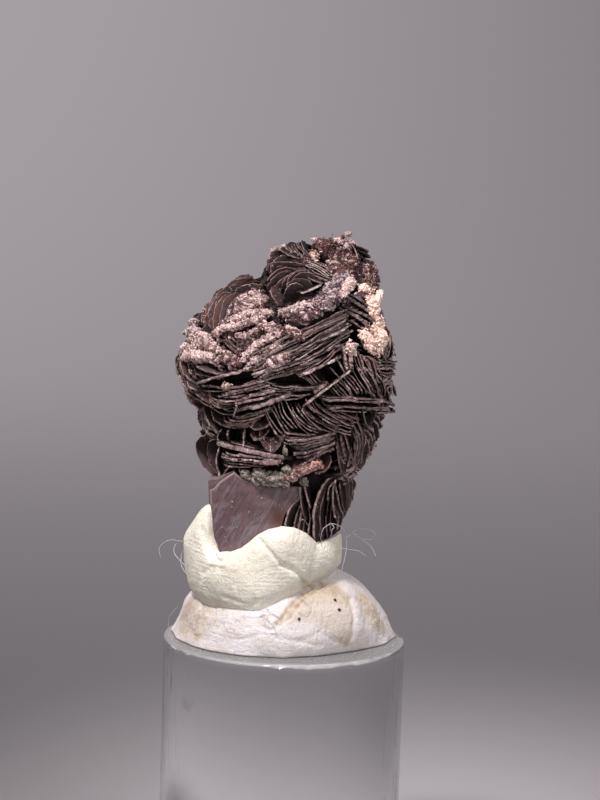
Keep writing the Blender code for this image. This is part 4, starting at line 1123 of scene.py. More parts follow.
def far_grains():
    """Grains scattered by bell curves about each of those places, half sunk in the plates."""
    rng = np.random.default_rng(FAR_SEED)
    shapes = []
    for turn, side, height, spread, count, pale in FAR_CRUSTS:
        sides = side + rng.normal(0, spread, count)
        heights = height + rng.normal(0, spread * FAR_FLATNESS, count)
        centres = on_side(math.radians(turn), sides, heights, rng.normal(*FAR_PROUD, count))
        sizes = np.minimum(FAR_SIZE * np.exp(rng.normal(0, FAR_SIZE_SPREAD, count)), LARGEST_FAR_GRAIN)
        shapes.append(grain_shape(centres, sizes, rng, pale + rng.normal(0, PALE_STRAY, count)))
    return shapes


def rim_grains(plates_shape, plates, around, share, seed):
    """Crumbs on the plates' edges: at random points of the rim rows, more on the dustier plates."""
    rng = np.random.default_rng(seed)
    count = len(plates.edges)
    size = len(PLATE_ROWS) * around + 2
    points = plates_shape.points.reshape(count, size, 3)[:, 3 * around:5 * around]
    front = np.sin(np.linspace(0, TURN, around, endpoint=False)) > CRUMB_FRONT
    chance = np.tile(front, 2)[None] * np.clip(plates.dust, LEAST_DUST, 1)[:, None] * share
    chosen = rng.uniform(size=chance.shape) < chance
    spots = points[chosen]
    pale = np.broadcast_to(plates.dust[:, None], chance.shape)[chosen]
    pale = pale + rng.normal(*CRUMB_PALE, len(spots))
    return grain_shape(spots, rng.uniform(*CRUMB_SIZES, len(spots)), rng, pale)


# The big crystal

CRYSTAL_OUTLINE = [
    (209.5, 490), (214, 488), (219, 482), (234, 472), (241, 478), (248, 481), (262, 485), (280, 487),
    (301, 487), (300, 498), (292, 505), (285, 514), (282, 524), (281, 532), (276, 548), (262, 566),
    (240, 566), (222, 558), (214, 537), (212, 515), (210.5, 505)]
FACET_OUTLINE = [
    (208, 481), (218, 479), (234, 470.5), (236, 474), (225, 490), (214, 498), (213, 510), (209, 503)]
CRYSTAL_FRONT, FACET_FRONT, CRYSTAL_BACK = -5.3, -5.0, -1.5
CRYSTAL_BEVEL = 0.07
CRYSTAL_AROUND, CRYSTAL_ROWS = 180, 26
# Its sides are this many stacked layers: how far they lie in at most, as a share, and how pale their rims are
CRYSTAL_LAYERS, LAYER_INSET, LAYER_RIM = 9, 0.07, 0.4
# The rim's painted highlight lies above this height, and left of a slanting line
HIGHLIGHT_FLOOR, HIGHLIGHT_SLANT = 11.6, -16.0
STAIN_PIXEL, STAIN_FULL, STAIN_SIZE, STAIN_STRETCH = (279, 519), 1.3, 0.9, (1.2, 0, 0.8)
# The face's relief: how high, how stretched, and its waves; and its swell: how high, how often and from where
FACE_RELIEF, FACE_STRETCH, FACE_WAVES, FACE_SWELL = 0.05, (0.6, 1, 1.4), (4.0, 0.8, 9), (0.08, 0.8, 1.0)
# The shares of the outline at the hidden back and at the face's middle, and how strong each crystal's painted
# rim highlight is
BACK_SHARE, MIDDLE_SHARE, CRYSTAL_RIM_HIGHLIGHT, FACET_RIM_HIGHLIGHT = 0.5, 0.05, 1.0, 0.1


def crystal_shape(outline, front, upper_highlight):
    """A prism on an outline of pixels: its side, a bevel, and a face in rows that shrink to its middle.

    The side steps in and out layer by layer. The face swells a little, for long soft reflections.
    """
    rng = np.random.default_rng(LAYER_SEED)
    corners = seen(np.array(outline, float), np.full(len(outline), front))
    corners = np.roll(corners[::-1], 1, axis=0)
    closed = np.concatenate([corners, corners[:1]])
    far = np.concatenate([[0], np.cumsum(np.linalg.norm(np.diff(closed, axis=0), axis=1))])
    places = np.linspace(0, far[-1], CRYSTAL_AROUND, endpoint=False)
    loop = np.stack([np.interp(places, far, closed[:, i]) for i in range(3)], -1)
    middle = loop.mean(0)
    layers = np.linspace(CRYSTAL_BACK, front + 2 * CRYSTAL_BEVEL, 2 * CRYSTAL_LAYERS)
    insets = np.repeat(rng.uniform(0.0, LAYER_INSET, CRYSTAL_LAYERS), 2)
    rows = np.linspace(1 - CRYSTAL_BEVEL / 3, MIDDLE_SHARE, CRYSTAL_ROWS)
    shares = [BACK_SHARE] + list(1 - insets) + [1.0] + list(rows)
    depths = [CRYSTAL_BACK] + list(layers) + [front + CRYSTAL_BEVEL] + [front] * CRYSTAL_ROWS
    face = 2 + len(layers)
    rings = middle + (loop - middle) * np.array(shares)[:, None, None]
    rings[..., 1] = np.array(depths)[:, None]
    high, often, start = FACE_SWELL
    swell = high * np.sin(rings[..., 0] * often + start)
    rings[face:, :, 1] += (FACE_RELIEF * ripple(rings * FACE_STRETCH, *FACE_WAVES) + swell)[face:]
    rim = np.zeros(rings.shape[:2])
    # Painted highlight: the rim is pale only along the upper left edge, where the light falls
    upper = (rings[..., 0] - rings[..., 2] < HIGHLIGHT_SLANT) & (rings[..., 2] > HIGHLIGHT_FLOOR)
    rim[face - 1:face + 1] = np.where(upper[face - 1:face + 1], upper_highlight, 0.0)
    rim[1:face - 1:2] = LAYER_RIM
    stain_at = seen(np.array([STAIN_PIXEL], float), np.array([front]))[0]
    away = np.linalg.norm((rings - stain_at) * STAIN_STRETCH, axis=-1)
    return skin(rings, np.stack([rim, np.clip(STAIN_FULL - away / STAIN_SIZE, 0, 1), np.zeros_like(rim)], -1))


# Putty

COLLAR_CENTRE = np.array([-1.97, -0.2, 6.3])
COLLAR_RADII = (6.5, 6.75)
COLLAR_FOOT, COLLAR_WELL = 0.4, 5.2
COLLAR_SQUARENESS = 2.3
COLLAR_AROUND, LOWER_ROWS, UPPER_ROWS, INNER_ROWS = 360, 70, 46, 18
# Waves on the putties: height, longest and shortest, and seed. The front fades in over a depth
COLLAR_WAVES = ((0.08, 5.0, 1.2, 12), (0.03, 0.9, 0.3, 13))
DOME_RELIEF = ((0.08, 4.0, 1.0, 41), (0.03, 0.8, 0.3, 42))
FRONT_FADE = 1.5
# Where the collar's lower part is pulled in: at the right (1) or left (-1), over how narrow a part, from
# which height down and by what share
PULLS, PULL_SPAN = ((1, 1.5, 6.6, 0.45), (-1, 2, 4.2, 0.2)), 4
# How far in the lip's inner side lies, how it falls, and the squared radii that give the way out
LIP_INSIDE, LIP_FALL = 0.5, 1.6
COLLAR_SQUARES = (COLLAR_RADII[0] ** 2, COLLAR_RADII[1] ** 2, 40.0)
# By the turn in degrees from the right over the back: the height of the widest place, and how much of the
# reach is left at the lip
COLLAR_TURNS = (0, 45, 90, 135, 180, 225, 270, 315)
COLLAR_WIDEST = (8.0, 6.8, 6.3, 7.2, 8.2, 7.0, 6.2, 6.8)
LIP_REACH = (0.97, 0.86, 0.80, 0.78, 0.75, 0.84, 0.87, 0.91)
# How straight the slope up to the lip is: 1 round, 2 straight
LIP_SLOPE = (1.0, 0.9, 0.9, 1.2, 1.8, 1.2, 0.87, 0.9)
# The lip as it crosses the crystal and the uprights, in pixels
LIP_FRONT = [(204, 508), (208, 504), (211, 509), (213, 524), (214, 535), (217, 545), (222, 551), (231, 552),
             (241, 548), (249, 542), (257, 535), (268, 530), (282, 527), (296, 529), (306, 534), (313, 540),
             (318, 543), (326, 541), (334, 537), (342, 532), (346, 530)]
# The lip's height across the back, between its two ends
LIP_BACK = ((-4.0, 9.7), (0.0, 9.3))


def away_from(points, path):
    """How far each point is from the nearest stretch of a path."""
    nearest = np.full(points.shape[:-1], 1e9)
    path = np.array(path, float)
    for start, end in zip(path, path[1:]):
        way = end - start
        share = np.clip(((points - start) @ way) / (way @ way), 0, 1)
        nearest = np.minimum(nearest, np.linalg.norm(points - start - share[..., None] * way, axis=-1))
    return nearest


def bell(away, size):
    """A bell curve: 1 at no distance, about a third at that size."""
    return np.exp(-(away / size) ** 2)


def furrows(spots, folds):
    """How deep the folds are at each pixel: each by a bell curve of its width, along its path."""
    return sum(deep * bell(away_from(spots, path), width) for path, width, deep in folds)


def putty_relief(rings, waves, folds, middle):
    """How far putty stands out: waves all over, less the folds in front of the middle's depth.

    Also gives the pixels, and how much of the front each point has.
    """
    spots, front = pixel_of(rings), np.clip((middle - rings[..., 1]) / FRONT_FADE, 0, 1)
    push = sum(high * ripple(rings, longest, shortest, seed) for high, longest, shortest, seed in waves)
    return push - front * furrows(spots, folds), spots, front


def within(points, outline, softness):
    """1 inside an outline and 0 outside, by whether a level line crosses its sides an odd number of times."""
    inside = np.zeros(points.shape[:-1], bool)
    closed = outline + outline[:1]
    x, y = points[..., 0], points[..., 1]
    for (x0, y0), (x1, y1) in zip(closed, closed[1:]):
        if y0 != y1:
            inside ^= ((y0 > y) != (y1 > y)) & (x < x0 + (y - y0) * (x1 - x0) / (y1 - y0))
    away = away_from(points, closed)
    return np.clip(0.5 + np.where(inside, away, -away) / softness, 0, 1)


# Creases as they show in front: pixels, width in pixels and depth in millimetres
COLLAR_CREASES = [
    # The fine fold from the crystal, and the deeper one that runs on to the pinch at the tongue's tip
    ([(257, 537), (267, 549), (275, 558), (282, 565)], 1.5, 0.20),
    ([(282, 565), (290, 568), (300, 575), (306, 584)], 2.2, 0.34),
    ([(306, 584), (308, 592), (304, 599)], 3.5, 0.30),
    ([(309, 590), (318, 584), (331, 579)], 4.0, 0.22),
    # Small wrinkles round the knot, and soft hollows
    ([(215, 557), (221, 562), (227, 558)], 1.5, 0.16),
    ([(222, 557), (219, 566)], 1.3, 0.12),
    ([(213, 549), (216, 556)], 1.4, 0.12),
    ([(205, 572), (212, 568), (222, 569)], 3.0, 0.10),
    ([(203, 530), (208, 545), (212, 556)], 4.0, 0.16),
    ([(318, 546), (315, 562), (311, 577)], 4.5, 0.08),
    ([(240, 562), (239, 580), (238, 600)], 1.3, 0.06),
    ([(300, 588), (280, 597), (255, 600)], 3.0, 0.08),
    ([(224, 595), (250, 603), (280, 603)], 1.5, 0.07),
]
# Bulges: pixel, radius in pixels and height in millimetres
COLLAR_BULGES = [((225, 585), 36, 0.30), ((297, 580), 9, 0.22), ((285, 545), 20, 0.34),
                 ((330, 560), 16, 0.15), ((194, 532), 18, 0.15), ((262, 598), 20, 0.25)]


def by_turn(angles, values):
    """A value for each turn, in proportion between the eight that are given."""
    return np.interp(np.degrees(angles), COLLAR_TURNS, values, period=360)


def lip_height(angle, ways, reach):
    """The lip's height: in front by the pixels that it crosses, and across the back between its two ends."""
    lip = COLLAR_CENTRE + np.concatenate([ways * reach[:, None], np.zeros((len(angle), 1))], 1)
    for _ in range(8):
        across = pixel_of(lip)[:, 0]
        row = np.interp(across, *np.array(LIP_FRONT).T)
        lip[:, 2] = seen(np.stack([across, row], -1), lip[:, 1])[:, 2]
    half = len(angle) // 2
    back_x, back_height = np.array(LIP_BACK).T
    back = np.interp(lip[:, 0], [lip[half, 0], *back_x, lip[0, 0]], [lip[half, 2], *back_height, lip[0, 2]])
    return np.where(np.sin(angle) < -1e-6, lip[:, 2], back)


def collar_shape():
    """A rolled collar: a squarish egg below its widest place, and above it a fat lip that falls inwards.

    Rows run from the lower pole, out and up to the lip, then down inside to the upper pole, under the
    specimen.
    """
    angle = np.linspace(0, TURN, COLLAR_AROUND, endpoint=False)
    ways = np.stack([np.cos(angle), np.sin(angle)], -1) * COLLAR_RADII
    widest, reach = by_turn(angle, COLLAR_WIDEST), by_turn(angle, LIP_REACH)
    top = lip_height(angle, ways, reach)
    power = 2 / COLLAR_SQUARENESS
    slopes = np.linspace(-0.5, 0, LOWER_ROWS)[1:, None] * math.pi
    lower = np.cos(slopes) ** power * np.ones_like(angle)
    lower_height = widest - np.abs(np.sin(slopes)) ** power * (widest - COLLAR_FOOT)
    slopes = np.linspace(0, 0.5, UPPER_ROWS)[1:, None] * math.pi
    straight = by_turn(angle, LIP_SLOPE)
    upper = reach + (1 - reach) * np.cos(slopes) ** straight
    upper_height = widest + np.sin(slopes) ** straight * (top - widest)
    fall = np.linspace(0, 1, INNER_ROWS)[1:-1, None]
    inner = reach - LIP_INSIDE * np.sin(fall * math.pi / 2) * np.ones_like(angle)
    inner_height = top - (top - COLLAR_WELL) * fall ** LIP_FALL
    spread, pulled = np.concatenate([lower, upper, inner]), 0.0
    height = np.concatenate([lower_height, upper_height, inner_height])
    for way, power, start, most in PULLS:
        low = np.clip((start - height) / PULL_SPAN, 0, 1)
        pulled = pulled + np.clip(way * np.cos(angle), 0, 1) ** power * low * most
    level = COLLAR_CENTRE[:2] + ways * (spread * (1 - pulled))[..., None]
    rings = np.concatenate([level, height[..., None]], -1)
    outward = unit((rings - COLLAR_CENTRE) / COLLAR_SQUARES)
    push, spots, front = putty_relief(rings, COLLAR_WAVES, COLLAR_CREASES, COLLAR_CENTRE[1])
    for place, size, high in COLLAR_BULGES:
        push = push + front * high * bell(np.linalg.norm(spots - place, axis=-1), size)
    rings = rings + outward * push[..., None]
    return skin(rings, np.zeros(rings.shape))


DOME_RADIUS, DOME_TOP = 9.3, 5.9
DOME_AROUND, DOME_ROWS = 330, 110
# The turns that its foot is averaged over; the ragged hem: how deep, how often, how far it sways and how
# often; the stretch that gives the way out; and the stain at the back
FOOT_STEPS = (-0.2, 0, 0.2)
HEM_DEPTH, HEM_TIMES, HEM_SWAY, SWAY_TIMES = 0.012, 11, 2, 4
DOME_STRETCH, BACK_STAIN, BACK_WAVES = (1, 1, 1.6), 0.6, (6.0, 2.0, 44)
# Share of the radius and height, from the top down and a little under the widest place
DOME_PROFILE = ((0.0, DOME_TOP), (0.25, DOME_TOP), (0.45, 5.6), (0.6, 4.9), (0.76, 3.6), (0.88, 2.1),
                (0.94, 1.1), (0.985, 0.35), (1.0, 0.08), (0.98, 0.03))
# Waves round it: how many, how deep as a share and where they start
DOME_WAVES = ((3, 0.012, 0.6), (7, 0.008, 0.0))
# The foot reaches less far in front, by the same eight turns as the collar, and less so with height; the left
# shoulder swells
DOME_FOOT, DOME_FOOT_FADE = (0.99, 1.0, 1.0, 1.0, 1.02, 0.94, 0.81, 0.77), 1.8
DOME_SHOULDER, DOME_SHOULDER_HEIGHT, DOME_SHOULDER_SPAN = 0.08, 3.2, 1.4
# Below this height the foot is ragged and turns in
DOME_HEM = 0.5
# Tan stains: pixel, radius in pixels and strength
DOME_STAINS = [
    ((180, 616), 9, 0.7), ((190, 606), 9, 0.8), ((200, 618), 8, 0.7), ((206, 606), 7, 0.7),
    ((186, 630), 8, 0.6), ((196, 634), 7, 0.6), ((214, 622), 6, 0.5), ((222, 612), 9, 0.4),
    ((240, 618), 9, 0.35), ((232, 632), 7, 0.35), ((312, 590), 8, 1.0), ((303, 597), 6, 1.0),
    ((322, 588), 8, 0.9), ((334, 590), 8, 0.7), ((295, 604), 5, 1.0), ((288, 611), 4, 1.0),
    ((281, 619), 4, 0.9), ((276, 625), 4, 0.7), ((344, 600), 6, 0.6), ((345, 641), 6, 0.6),
    ((364, 598), 7, 0.7), ((372, 610), 7, 0.8), ((379, 622), 7, 0.7), ((383, 632), 5, 0.5),
    ((265, 622), 7, 0.5),
]
# Where the putty is beige all over: outlines in pixels, softness and strength
DOME_BEIGE = [
    ([(280, 616), (292, 602), (306, 590), (326, 582), (342, 586), (350, 599), (354, 618), (353, 634),
      (348, 646), (340, 642), (329, 631), (315, 623), (300, 622), (288, 624)], 4, 1.0),
    ([(355, 588), (366, 593), (375, 604), (382, 616), (386, 630), (376, 632), (367, 618), (360, 604)],
     7, 0.8),
    ([(174, 630), (174, 612), (186, 598), (202, 596), (210, 606), (206, 622), (198, 641), (186, 640)],
     9, 0.6),
]
# Folds: path in pixels, width in pixels and depth in millimetres
DOME_FOLDS = [
    ([(312, 587), (296, 600), (286, 613), (277, 625)], 1.8, 0.18),
    ([(322, 586), (305, 599), (296, 607)], 1.6, 0.12),
    ([(300, 606), (290, 618), (280, 626)], 1.6, 0.10),
    ([(262, 618), (262, 626), (269, 631), (276, 628)], 1.6, 0.12),
    ([(300, 641), (320, 633), (336, 641), (347, 647)], 3.0, 0.07),
    ([(350, 599), (354, 618), (353, 634), (348, 646)], 1.8, 0.10),
    ([(346, 578), (358, 592), (366, 615), (371, 640)], 5.0, 0.08),
    ([(206, 600), (196, 616), (190, 632)], 5.0, 0.16),
    ([(214, 606), (206, 622), (203, 640)], 3.5, 0.12),
    ([(236, 640), (262, 634), (290, 640), (320, 646)], 2.0, 0.06),
]
# The profile as a smooth curve, and how many of its points lie above the widest one
PROFILE_SHARES, PROFILE_HEIGHTS = curve_through(np.array(DOME_PROFILE), 200).T
PROFILE_HEIGHTS = np.minimum.accumulate(PROFILE_HEIGHTS)
ABOVE_WIDEST = int(np.argmax(PROFILE_SHARES)) + 1
# Dark specks, each of several blocks: pixel and size in millimetres
SPECK_BLOCKS, SPECK_PALE = 8, -1.0
SPECKS = [((335, 600), 0.22), ((339, 610), 0.27), ((299, 619), 0.19), ((254, 610), 0.13), ((268, 610), 0.10)]


def profile_at(height):
    """The share of the radius at a height above the widest place."""
    return np.interp(-height, -PROFILE_HEIGHTS[:ABOVE_WIDEST], PROFILE_SHARES[:ABOVE_WIDEST])


def dome_reach(angle, height):
    """The dome's radius: its profile at that height, with waves, the pressed foot and the full shoulder."""
    wave = sum(deep * np.sin(times * angle + start) for times, deep, start in DOME_WAVES)
    foot = sum(by_turn(angle + step, DOME_FOOT) for step in FOOT_STEPS) / len(FOOT_STEPS)
    press = (1 - foot) * np.exp(-height / DOME_FOOT_FADE)
    rise = (height - DOME_SHOULDER_HEIGHT) / DOME_SHOULDER_SPAN
    shoulder = DOME_SHOULDER * np.clip(-np.cos(angle), 0, 1) ** 2 * np.exp(-rise * rise)
    return DOME_RADIUS * profile_at(height) * (1 + wave - press + shoulder)


def on_dome(pixels):
    """Pixels placed on the dome's front."""
    def reach_of(spots):
        radius = dome_reach(np.arctan2(spots[:, 1], spots[:, 0]), np.clip(spots[:, 2], 0.2, DOME_TOP))
        return np.sqrt(np.clip(radius ** 2 - spots[:, 0] ** 2, 0.05, None))

    return seen(pixels, depth_at(pixels, reach_of, -7.0, 14))


def blots(pixels, spots):
    """How strong the strongest spot is at each pixel: full at its own, by a bell curve of its radius."""
    return np.max([strength * bell(np.linalg.norm(pixels - spot, axis=-1), size)
                   for spot, size, strength in spots], 0)


def dome_shape():
    """The dome's profile turned round, with soft waves, folds and a ragged foot."""
    shares, heights = PROFILE_SHARES[::-1], PROFILE_HEIGHTS[::-1]
    run = np.concatenate([[0], np.cumsum(np.hypot(np.diff(shares), np.diff(heights / DOME_RADIUS)))])
    places = np.linspace(0, run[-1], DOME_ROWS)[:-1]
    share, height = np.interp(places, run, shares)[:, None], np.interp(places, run, heights)[:, None]
    angle = np.linspace(0, TURN, DOME_AROUND, endpoint=False)
    under = np.where(height < DOME_HEM, share / profile_at(height), 1.0)
    ragged = np.sin(HEM_TIMES * angle + HEM_SWAY * np.sin(SWAY_TIMES * angle))
    foot = 1 + HEM_DEPTH * ragged * np.exp(-height / DOME_HEM)
    rings = circle(angle, dome_reach(angle, height) * under * foot, height)
    outward = unit(rings * DOME_STRETCH)
    push, spots, front = putty_relief(rings, DOME_RELIEF, DOME_FOLDS, 0)
    rings = rings + outward * push[..., None] * np.clip(height[..., None] / DOME_HEM, 0, 1)
    stain = front * blots(spots, DOME_STAINS)
    beige = front * np.max([full * within(spots, outline, soft) for outline, soft, full in DOME_BEIGE], 0)
    back = BACK_STAIN * np.clip(ripple(rings, *BACK_WAVES), 0, 1) * (rings[..., 1] > 0)
    stain = np.maximum(stain, back)
    low = rings[0].mean(0) * (1, 1, 0) + (0, 0, 0.1)
    return skin(rings, np.stack([beige, stain, np.zeros_like(stain)], -1), low=low)


def speck_shape():
    """Small dark grains pressed into the dome."""
    rng = np.random.default_rng(SPECK_SEED)
    pixels, sizes = np.array([spot for spot, _ in SPECKS], float), np.array([size for _, size in SPECKS])
    centres = np.repeat(on_dome(pixels), SPECK_BLOCKS, axis=0)
    return grain_shape(centres, np.repeat(sizes, SPECK_BLOCKS), rng, SPECK_PALE)


# Rod and lint

# The rod's rings: share of its length below its end, millimetres above that, inset and roughness
ROD_BEVEL = 0.25
ROD_LOWER = ((1, 0, ROD_RADIUS - 0.5, 0.8), (1, 0, ROD_BEVEL, 0.8), (1, ROD_BEVEL, 0, 0), (0.9, 0, 0, 0),
             (0.6, 0, 0, 0), (0.3, 0, 0, 0), (0.1, 0, 0, 0), (0.03, 0, 0, 0))
# Its sawn end: inset, drop, shares of the chips that cut in and down, and roughness
ROD_END = ((0.0, 0.22, 0.0, 1.0, 0.3), (0.10, 0.06, 0.6, 1.0, 1.0), (0.22, 0.0, 0.6, 0.35, 1.0),
           (0.6, 0.0, 0.0, 0.0, 0.8), (4.0, 0.0, 0.0, 0.0, 0.7))
ROD_CHIP, ROD_AROUND, CHIP_CIRCLE, CHIP_WAVES = 0.28, 360, 6, (4.0, 0.35, 51)


def rod_shape():
    """A turned rod whose sawn end is chipped and slightly uneven at its edge."""
    angle = np.linspace(0, TURN, ROD_AROUND, endpoint=False)
    chip = np.clip(ripple(CHIP_CIRCLE * circle(angle, 1, 0), *CHIP_WAVES), 0, 1) * ROD_CHIP
    rings = [circle(angle, ROD_RADIUS - inset, -ROD_TOP * share + up) for share, up, inset, _ in ROD_LOWER]
    for inset, drop, into, down, _ in ROD_END:
        rings.append(circle(angle, ROD_RADIUS - inset - chip * into, -drop - chip * down))
    rough = np.array([row[-1] for row in ROD_LOWER + ROD_END], float)
    return skin(np.array(rings), rough[:, None, None] * np.ones((len(angle), 1)) * (1, 0, 0))


LINT_RADIUS, LINT_AROUND, LINT_STEPS = 0.024, 6, 60
LINT_STRAY, LINT_WAVES, LINT_SEED = 0.05, (2.0, 0.5), 60
# Each fibre's route over the putty: pixels and depths
LINT = [
    [(322, 548, -5.6), (321, 538, -6.2), (324, 528, -6.5), (333, 524, -6.2), (342, 528, -5.4),
     (347, 540, -4.8), (345, 556, -4.6), (342, 570, -4.8)],
    [(331, 536, -5.8), (332, 530, -6.2), (334, 527, -6.0), (331, 524, -5.8)],
    [(341, 548, -4.0), (350, 550, -3.2), (359, 551, -2.6), (366, 556, -2.2)],
    [(345, 538, -3.0), (353, 534, -2.0), (361, 539, -1.2), (370, 546, -1.0), (376, 556, -1.2)],
    [(352, 532, -1.6), (358, 529, -1.0), (368, 529, -0.6), (375, 534, -0.6), (370, 539, -0.8),
     (360, 538, -1.2), (355, 534, -1.6)],
    [(186, 566, -3.0), (180, 560, -2.4), (174, 552, -1.6), (176, 544, -1.2), (184, 541, -2.0)],
    [(187, 575, -3.4), (182, 567, -2.8), (181, 556, -2.2), (184, 549, -2.4)],
    [(240, 606, -7.2), (252, 610, -7.4), (268, 612, -7.3), (280, 618, -7.4)],
    [(262, 614, -7.4), (270, 622, -7.6), (276, 632, -8.0), (270, 636, -8.2)],
    [(300, 596, -6.2), (310, 604, -6.6), (306, 614, -7.0), (298, 612, -7.0)],
    [(178, 606, -4.0), (170, 616, -3.0), (168, 630, -2.4), (172, 640, -2.6)],
    [(185, 542, -2.0), (173, 540, -1.2), (163, 543, -0.6), (159, 550, -0.4), (161, 557, -0.4)],
]


def lint_shape():
    """Thin round fibres: a small circle carried along each route."""
    rings, lows, highs = [], [], []
    angle = np.linspace(0, TURN, LINT_AROUND, endpoint=False)
    for route in LINT:
        route = np.array(route, float)
        path = curve_through(seen(route[:, :2], route[:, 2]), LINT_STEPS)
        waves = [ripple(path + k, *LINT_WAVES, LINT_SEED + k) for k in range(3)]
        path = path + LINT_STRAY * np.stack(waves, -1)
        along = unit(np.gradient(path, axis=0))
        first = unit(np.cross(along, BACK + 0.2 * SKY))
        second = np.cross(along, first)
        round_it = first[:, None] * np.cos(angle)[:, None] + second[:, None] * np.sin(angle)[:, None]
        rings.append(path[:, None] + LINT_RADIUS * round_it)
        lows.append(path[0] - along[0] * LINT_RADIUS)
        highs.append(path[-1] + along[-1] * LINT_RADIUS)
    rings = np.array(rings)
    return shells(rings, np.array(lows), np.array(highs), np.zeros(rings.shape), np.zeros((len(LINT), 3)))


# Stage

def make_floor():
    """A pale floor that sweeps up into a backdrop: a level run, a quarter circle and an upright."""
    reach, bend, width, high = 420.0, 580.0, 3000.0, 1400.0
    slope = np.linspace(0, math.pi / 2, 24)
    run = np.concatenate([[-width], reach + bend * np.sin(slope), [reach + bend]])
    rise = np.concatenate([[0.0], bend * (1 - np.cos(slope)), [high]])
    across = np.array([[-width, width]])
    points = np.stack(np.broadcast_arrays(across, run[:, None], rise[:, None]), -1).reshape(-1, 3)
    mesh = bpy.data.meshes.new("floor")
    faces = [(2 * i, 2 * i + 1, 2 * i + 3, 2 * i + 2) for i in range(len(run) - 1)]
    mesh.from_pydata((points * MM).tolist(), [], faces)
    mesh.shade_smooth()
    finish = Finish("pale_floor", Base_Color=FLOOR_GREY, Roughness=0.9)
    mesh.materials.append(finish.material)
    floor = bpy.data.objects.new("floor", mesh)
    bpy.context.scene.collection.objects.link(floor)


def make_lamp(name, kind, place, target, power, colour):
    """A lamp at a place, turned to its target."""
    lamp = bpy.data.lights.new(name, kind)
    lamp.energy = power
    lamp.color = colour
    item = bpy.data.objects.new(name, lamp)
    item.location = Vector(place) * MM
    item.rotation_euler = (Vector(target) - Vector(place)).to_track_quat("-Z", "Y").to_euler()
    bpy.context.scene.collection.objects.link(item)
    return lamp


def make_light(name, place, target, size, power, colour=(1, 1, 1)):
    """A level-edged lamp of that width and height."""
    lamp = make_lamp(name, "AREA", place, target, power, colour)
    lamp.shape = "RECTANGLE"
    lamp.size, lamp.size_y = size[0] * MM, size[1] * MM


def make_spot(name, place, target, cone, radius, power, colour):
    """A soft lamp whose light stays on the part: a cone in degrees, and the lamp's own radius."""
    lamp = make_lamp(name, "SPOT", place, target, power, colour)
    lamp.spot_size = math.radians(cone)
    lamp.spot_blend = 1.0
    lamp.shadow_soft_size = radius * MM


def make_camera():
    camera = bpy.data.objects.new("camera", bpy.data.cameras.new("camera"))
    camera.data.lens = LENS
    camera.data.sensor_width = SENSOR
    camera.data.clip_start, camera.data.clip_end = CLIP_METRES
    axes = Matrix((Vector(LOOK_RIGHT), Vector(LOOK_UP), Vector(-LOOK))).transposed().to_4x4()
    camera.matrix_world = Matrix.Translation(Vector(CAMERA_PLACE + (0, 0, ROD_TOP)) * MM) @ axes
    bpy.context.scene.collection.objects.link(camera)
    bpy.context.scene.camera = camera


def make_lights():
    """One lamp from above, three soft ones in front, one on the backdrop and two behind; and a dim room."""
    make_spot("key", (-70, -120, 300), (0, 0, 46), 17, 30, 5.7, (1, 0.975, 0.97))
    make_light("top", (-200, -60, 380), (0, 40, 60), (240, 240), 0.36)
    make_light("fill", (95, -130, 100), (0, 0, 45), (90, 90), 0.12, (0.98, 0.98, 1))
    make_light("low_fill", (-70, -170, 22), (0, 0, 34), (120, 120), 0.09, (1, 0.985, 0.98))
    make_light("backdrop", (-300, 315, 615), (-60, 1040, 265), (600, 300), 5.65, (1, 0.985, 1))
    make_spot("back_right", (190, 170, 190), (0, 0, 44), 17, 40, 1.5, (1, 0.985, 0.98))
    make_spot("back_left", (-210, 150, 150), (0, 0, 44), 17, 40, 0.8, (1, 0.985, 0.98))
    world = bpy.data.worlds.new("studio")
    world.use_nodes = True
    room = world.node_tree.nodes["Background"]
    room.inputs["Color"].default_value = ROOM_GREY
    room.inputs["Strength"].default_value = ROOM_STRENGTH
    bpy.context.scene.world = world


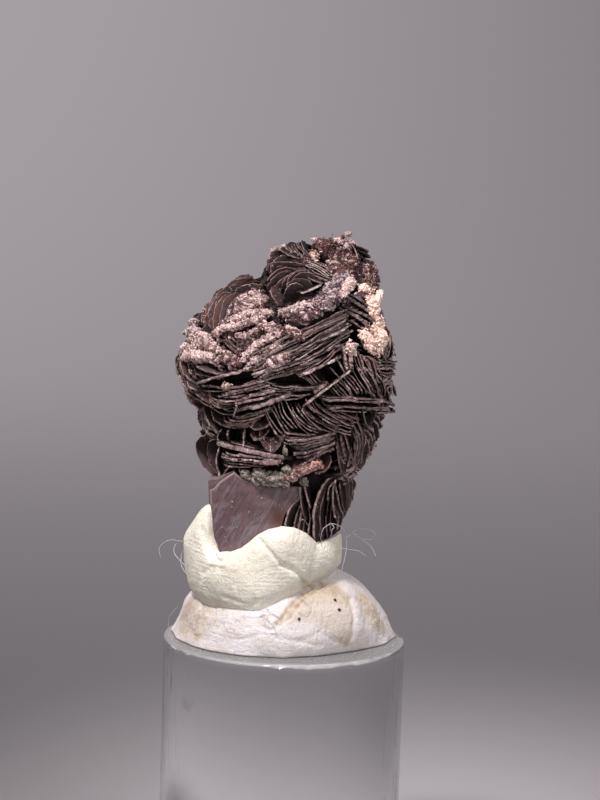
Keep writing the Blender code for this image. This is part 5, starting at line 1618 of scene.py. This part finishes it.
# Points round a plate's rim, the angles in degrees from which edges are sharp, and the front plates' pieces
FRONT_AROUND, SIDE_AROUND = 68, 36
PLATE_SHARP, GRAIN_SHARP, BEVEL_SHARP = 40, 20, 30
PLATE_PIECES = ("top_plates", "upper_plates", "middle_plates", "lower_plates")


def main():
    """Makes everything, piece by piece."""
    bpy.context.scene.view_settings.view_transform = "Standard"
    make_camera()
    make_lights()
    make_floor()

    plates, crust = hematite_finish(), crust_finish()
    front, sides = front_plates(), side_plates()
    front_shape = plate_shape(front, FRONT_AROUND, 101)
    sides_shape = plate_shape(sides, SIDE_AROUND, 102)
    count = len(front.edges)
    node, slot = "hematite_specimen", "hematite"
    make_piece("specimen_core", core_shape(), plates, node)
    for i, name in enumerate(PLATE_PIECES):
        first, last = [count * j // len(PLATE_PIECES) for j in (i, i + 1)]
        make_piece(name, part_of(front_shape, count, first, last), plates, node, sharp=PLATE_SHARP)
    make_piece("side_plates", sides_shape, plates, node, sharp=PLATE_SHARP)
    make_piece("crust_mounds", join_shapes([mound_shape(), lump_shape(BEDS, 300)]), crust, node)
    grains = join_shapes(crust_shapes() + [dot_shape()])
    make_piece("crust_grains", grains, crust, node, sharp=GRAIN_SHARP)
    crumbs = join_shapes([rim_grains(front_shape, front, FRONT_AROUND, *FRONT_CRUMBS),
                          rim_grains(sides_shape, sides, SIDE_AROUND, *SIDE_CRUMBS)] + far_grains())
    make_piece("edge_crumbs", crumbs, crust, node, sharp=GRAIN_SHARP)
    crystal = join_shapes([crystal_shape(CRYSTAL_OUTLINE, CRYSTAL_FRONT, CRYSTAL_RIM_HIGHLIGHT),
                           crystal_shape(FACET_OUTLINE, FACET_FRONT, FACET_RIM_HIGHLIGHT)])
    make_piece("big_crystal", crystal, crystal_finish(), node, sharp=BEVEL_SHARP)

    cream, white = putty_finish("cream_putty", *CREAM_PUTTY), putty_finish("white_putty", *WHITE_PUTTY)
    make_piece("putty_collar", collar_shape(), cream, "tack_collar")
    make_piece("putty_dome", dome_shape(), white, "tack_dome")
    make_piece("dome_specks", speck_shape(), crust, "tack_dome")
    make_piece("clear_rod", rod_shape(), acrylic_finish(), "acrylic_rod",
               sharp=BEVEL_SHARP)
    make_piece("lint_fibres", lint_shape(), lint_finish(), None)


main()
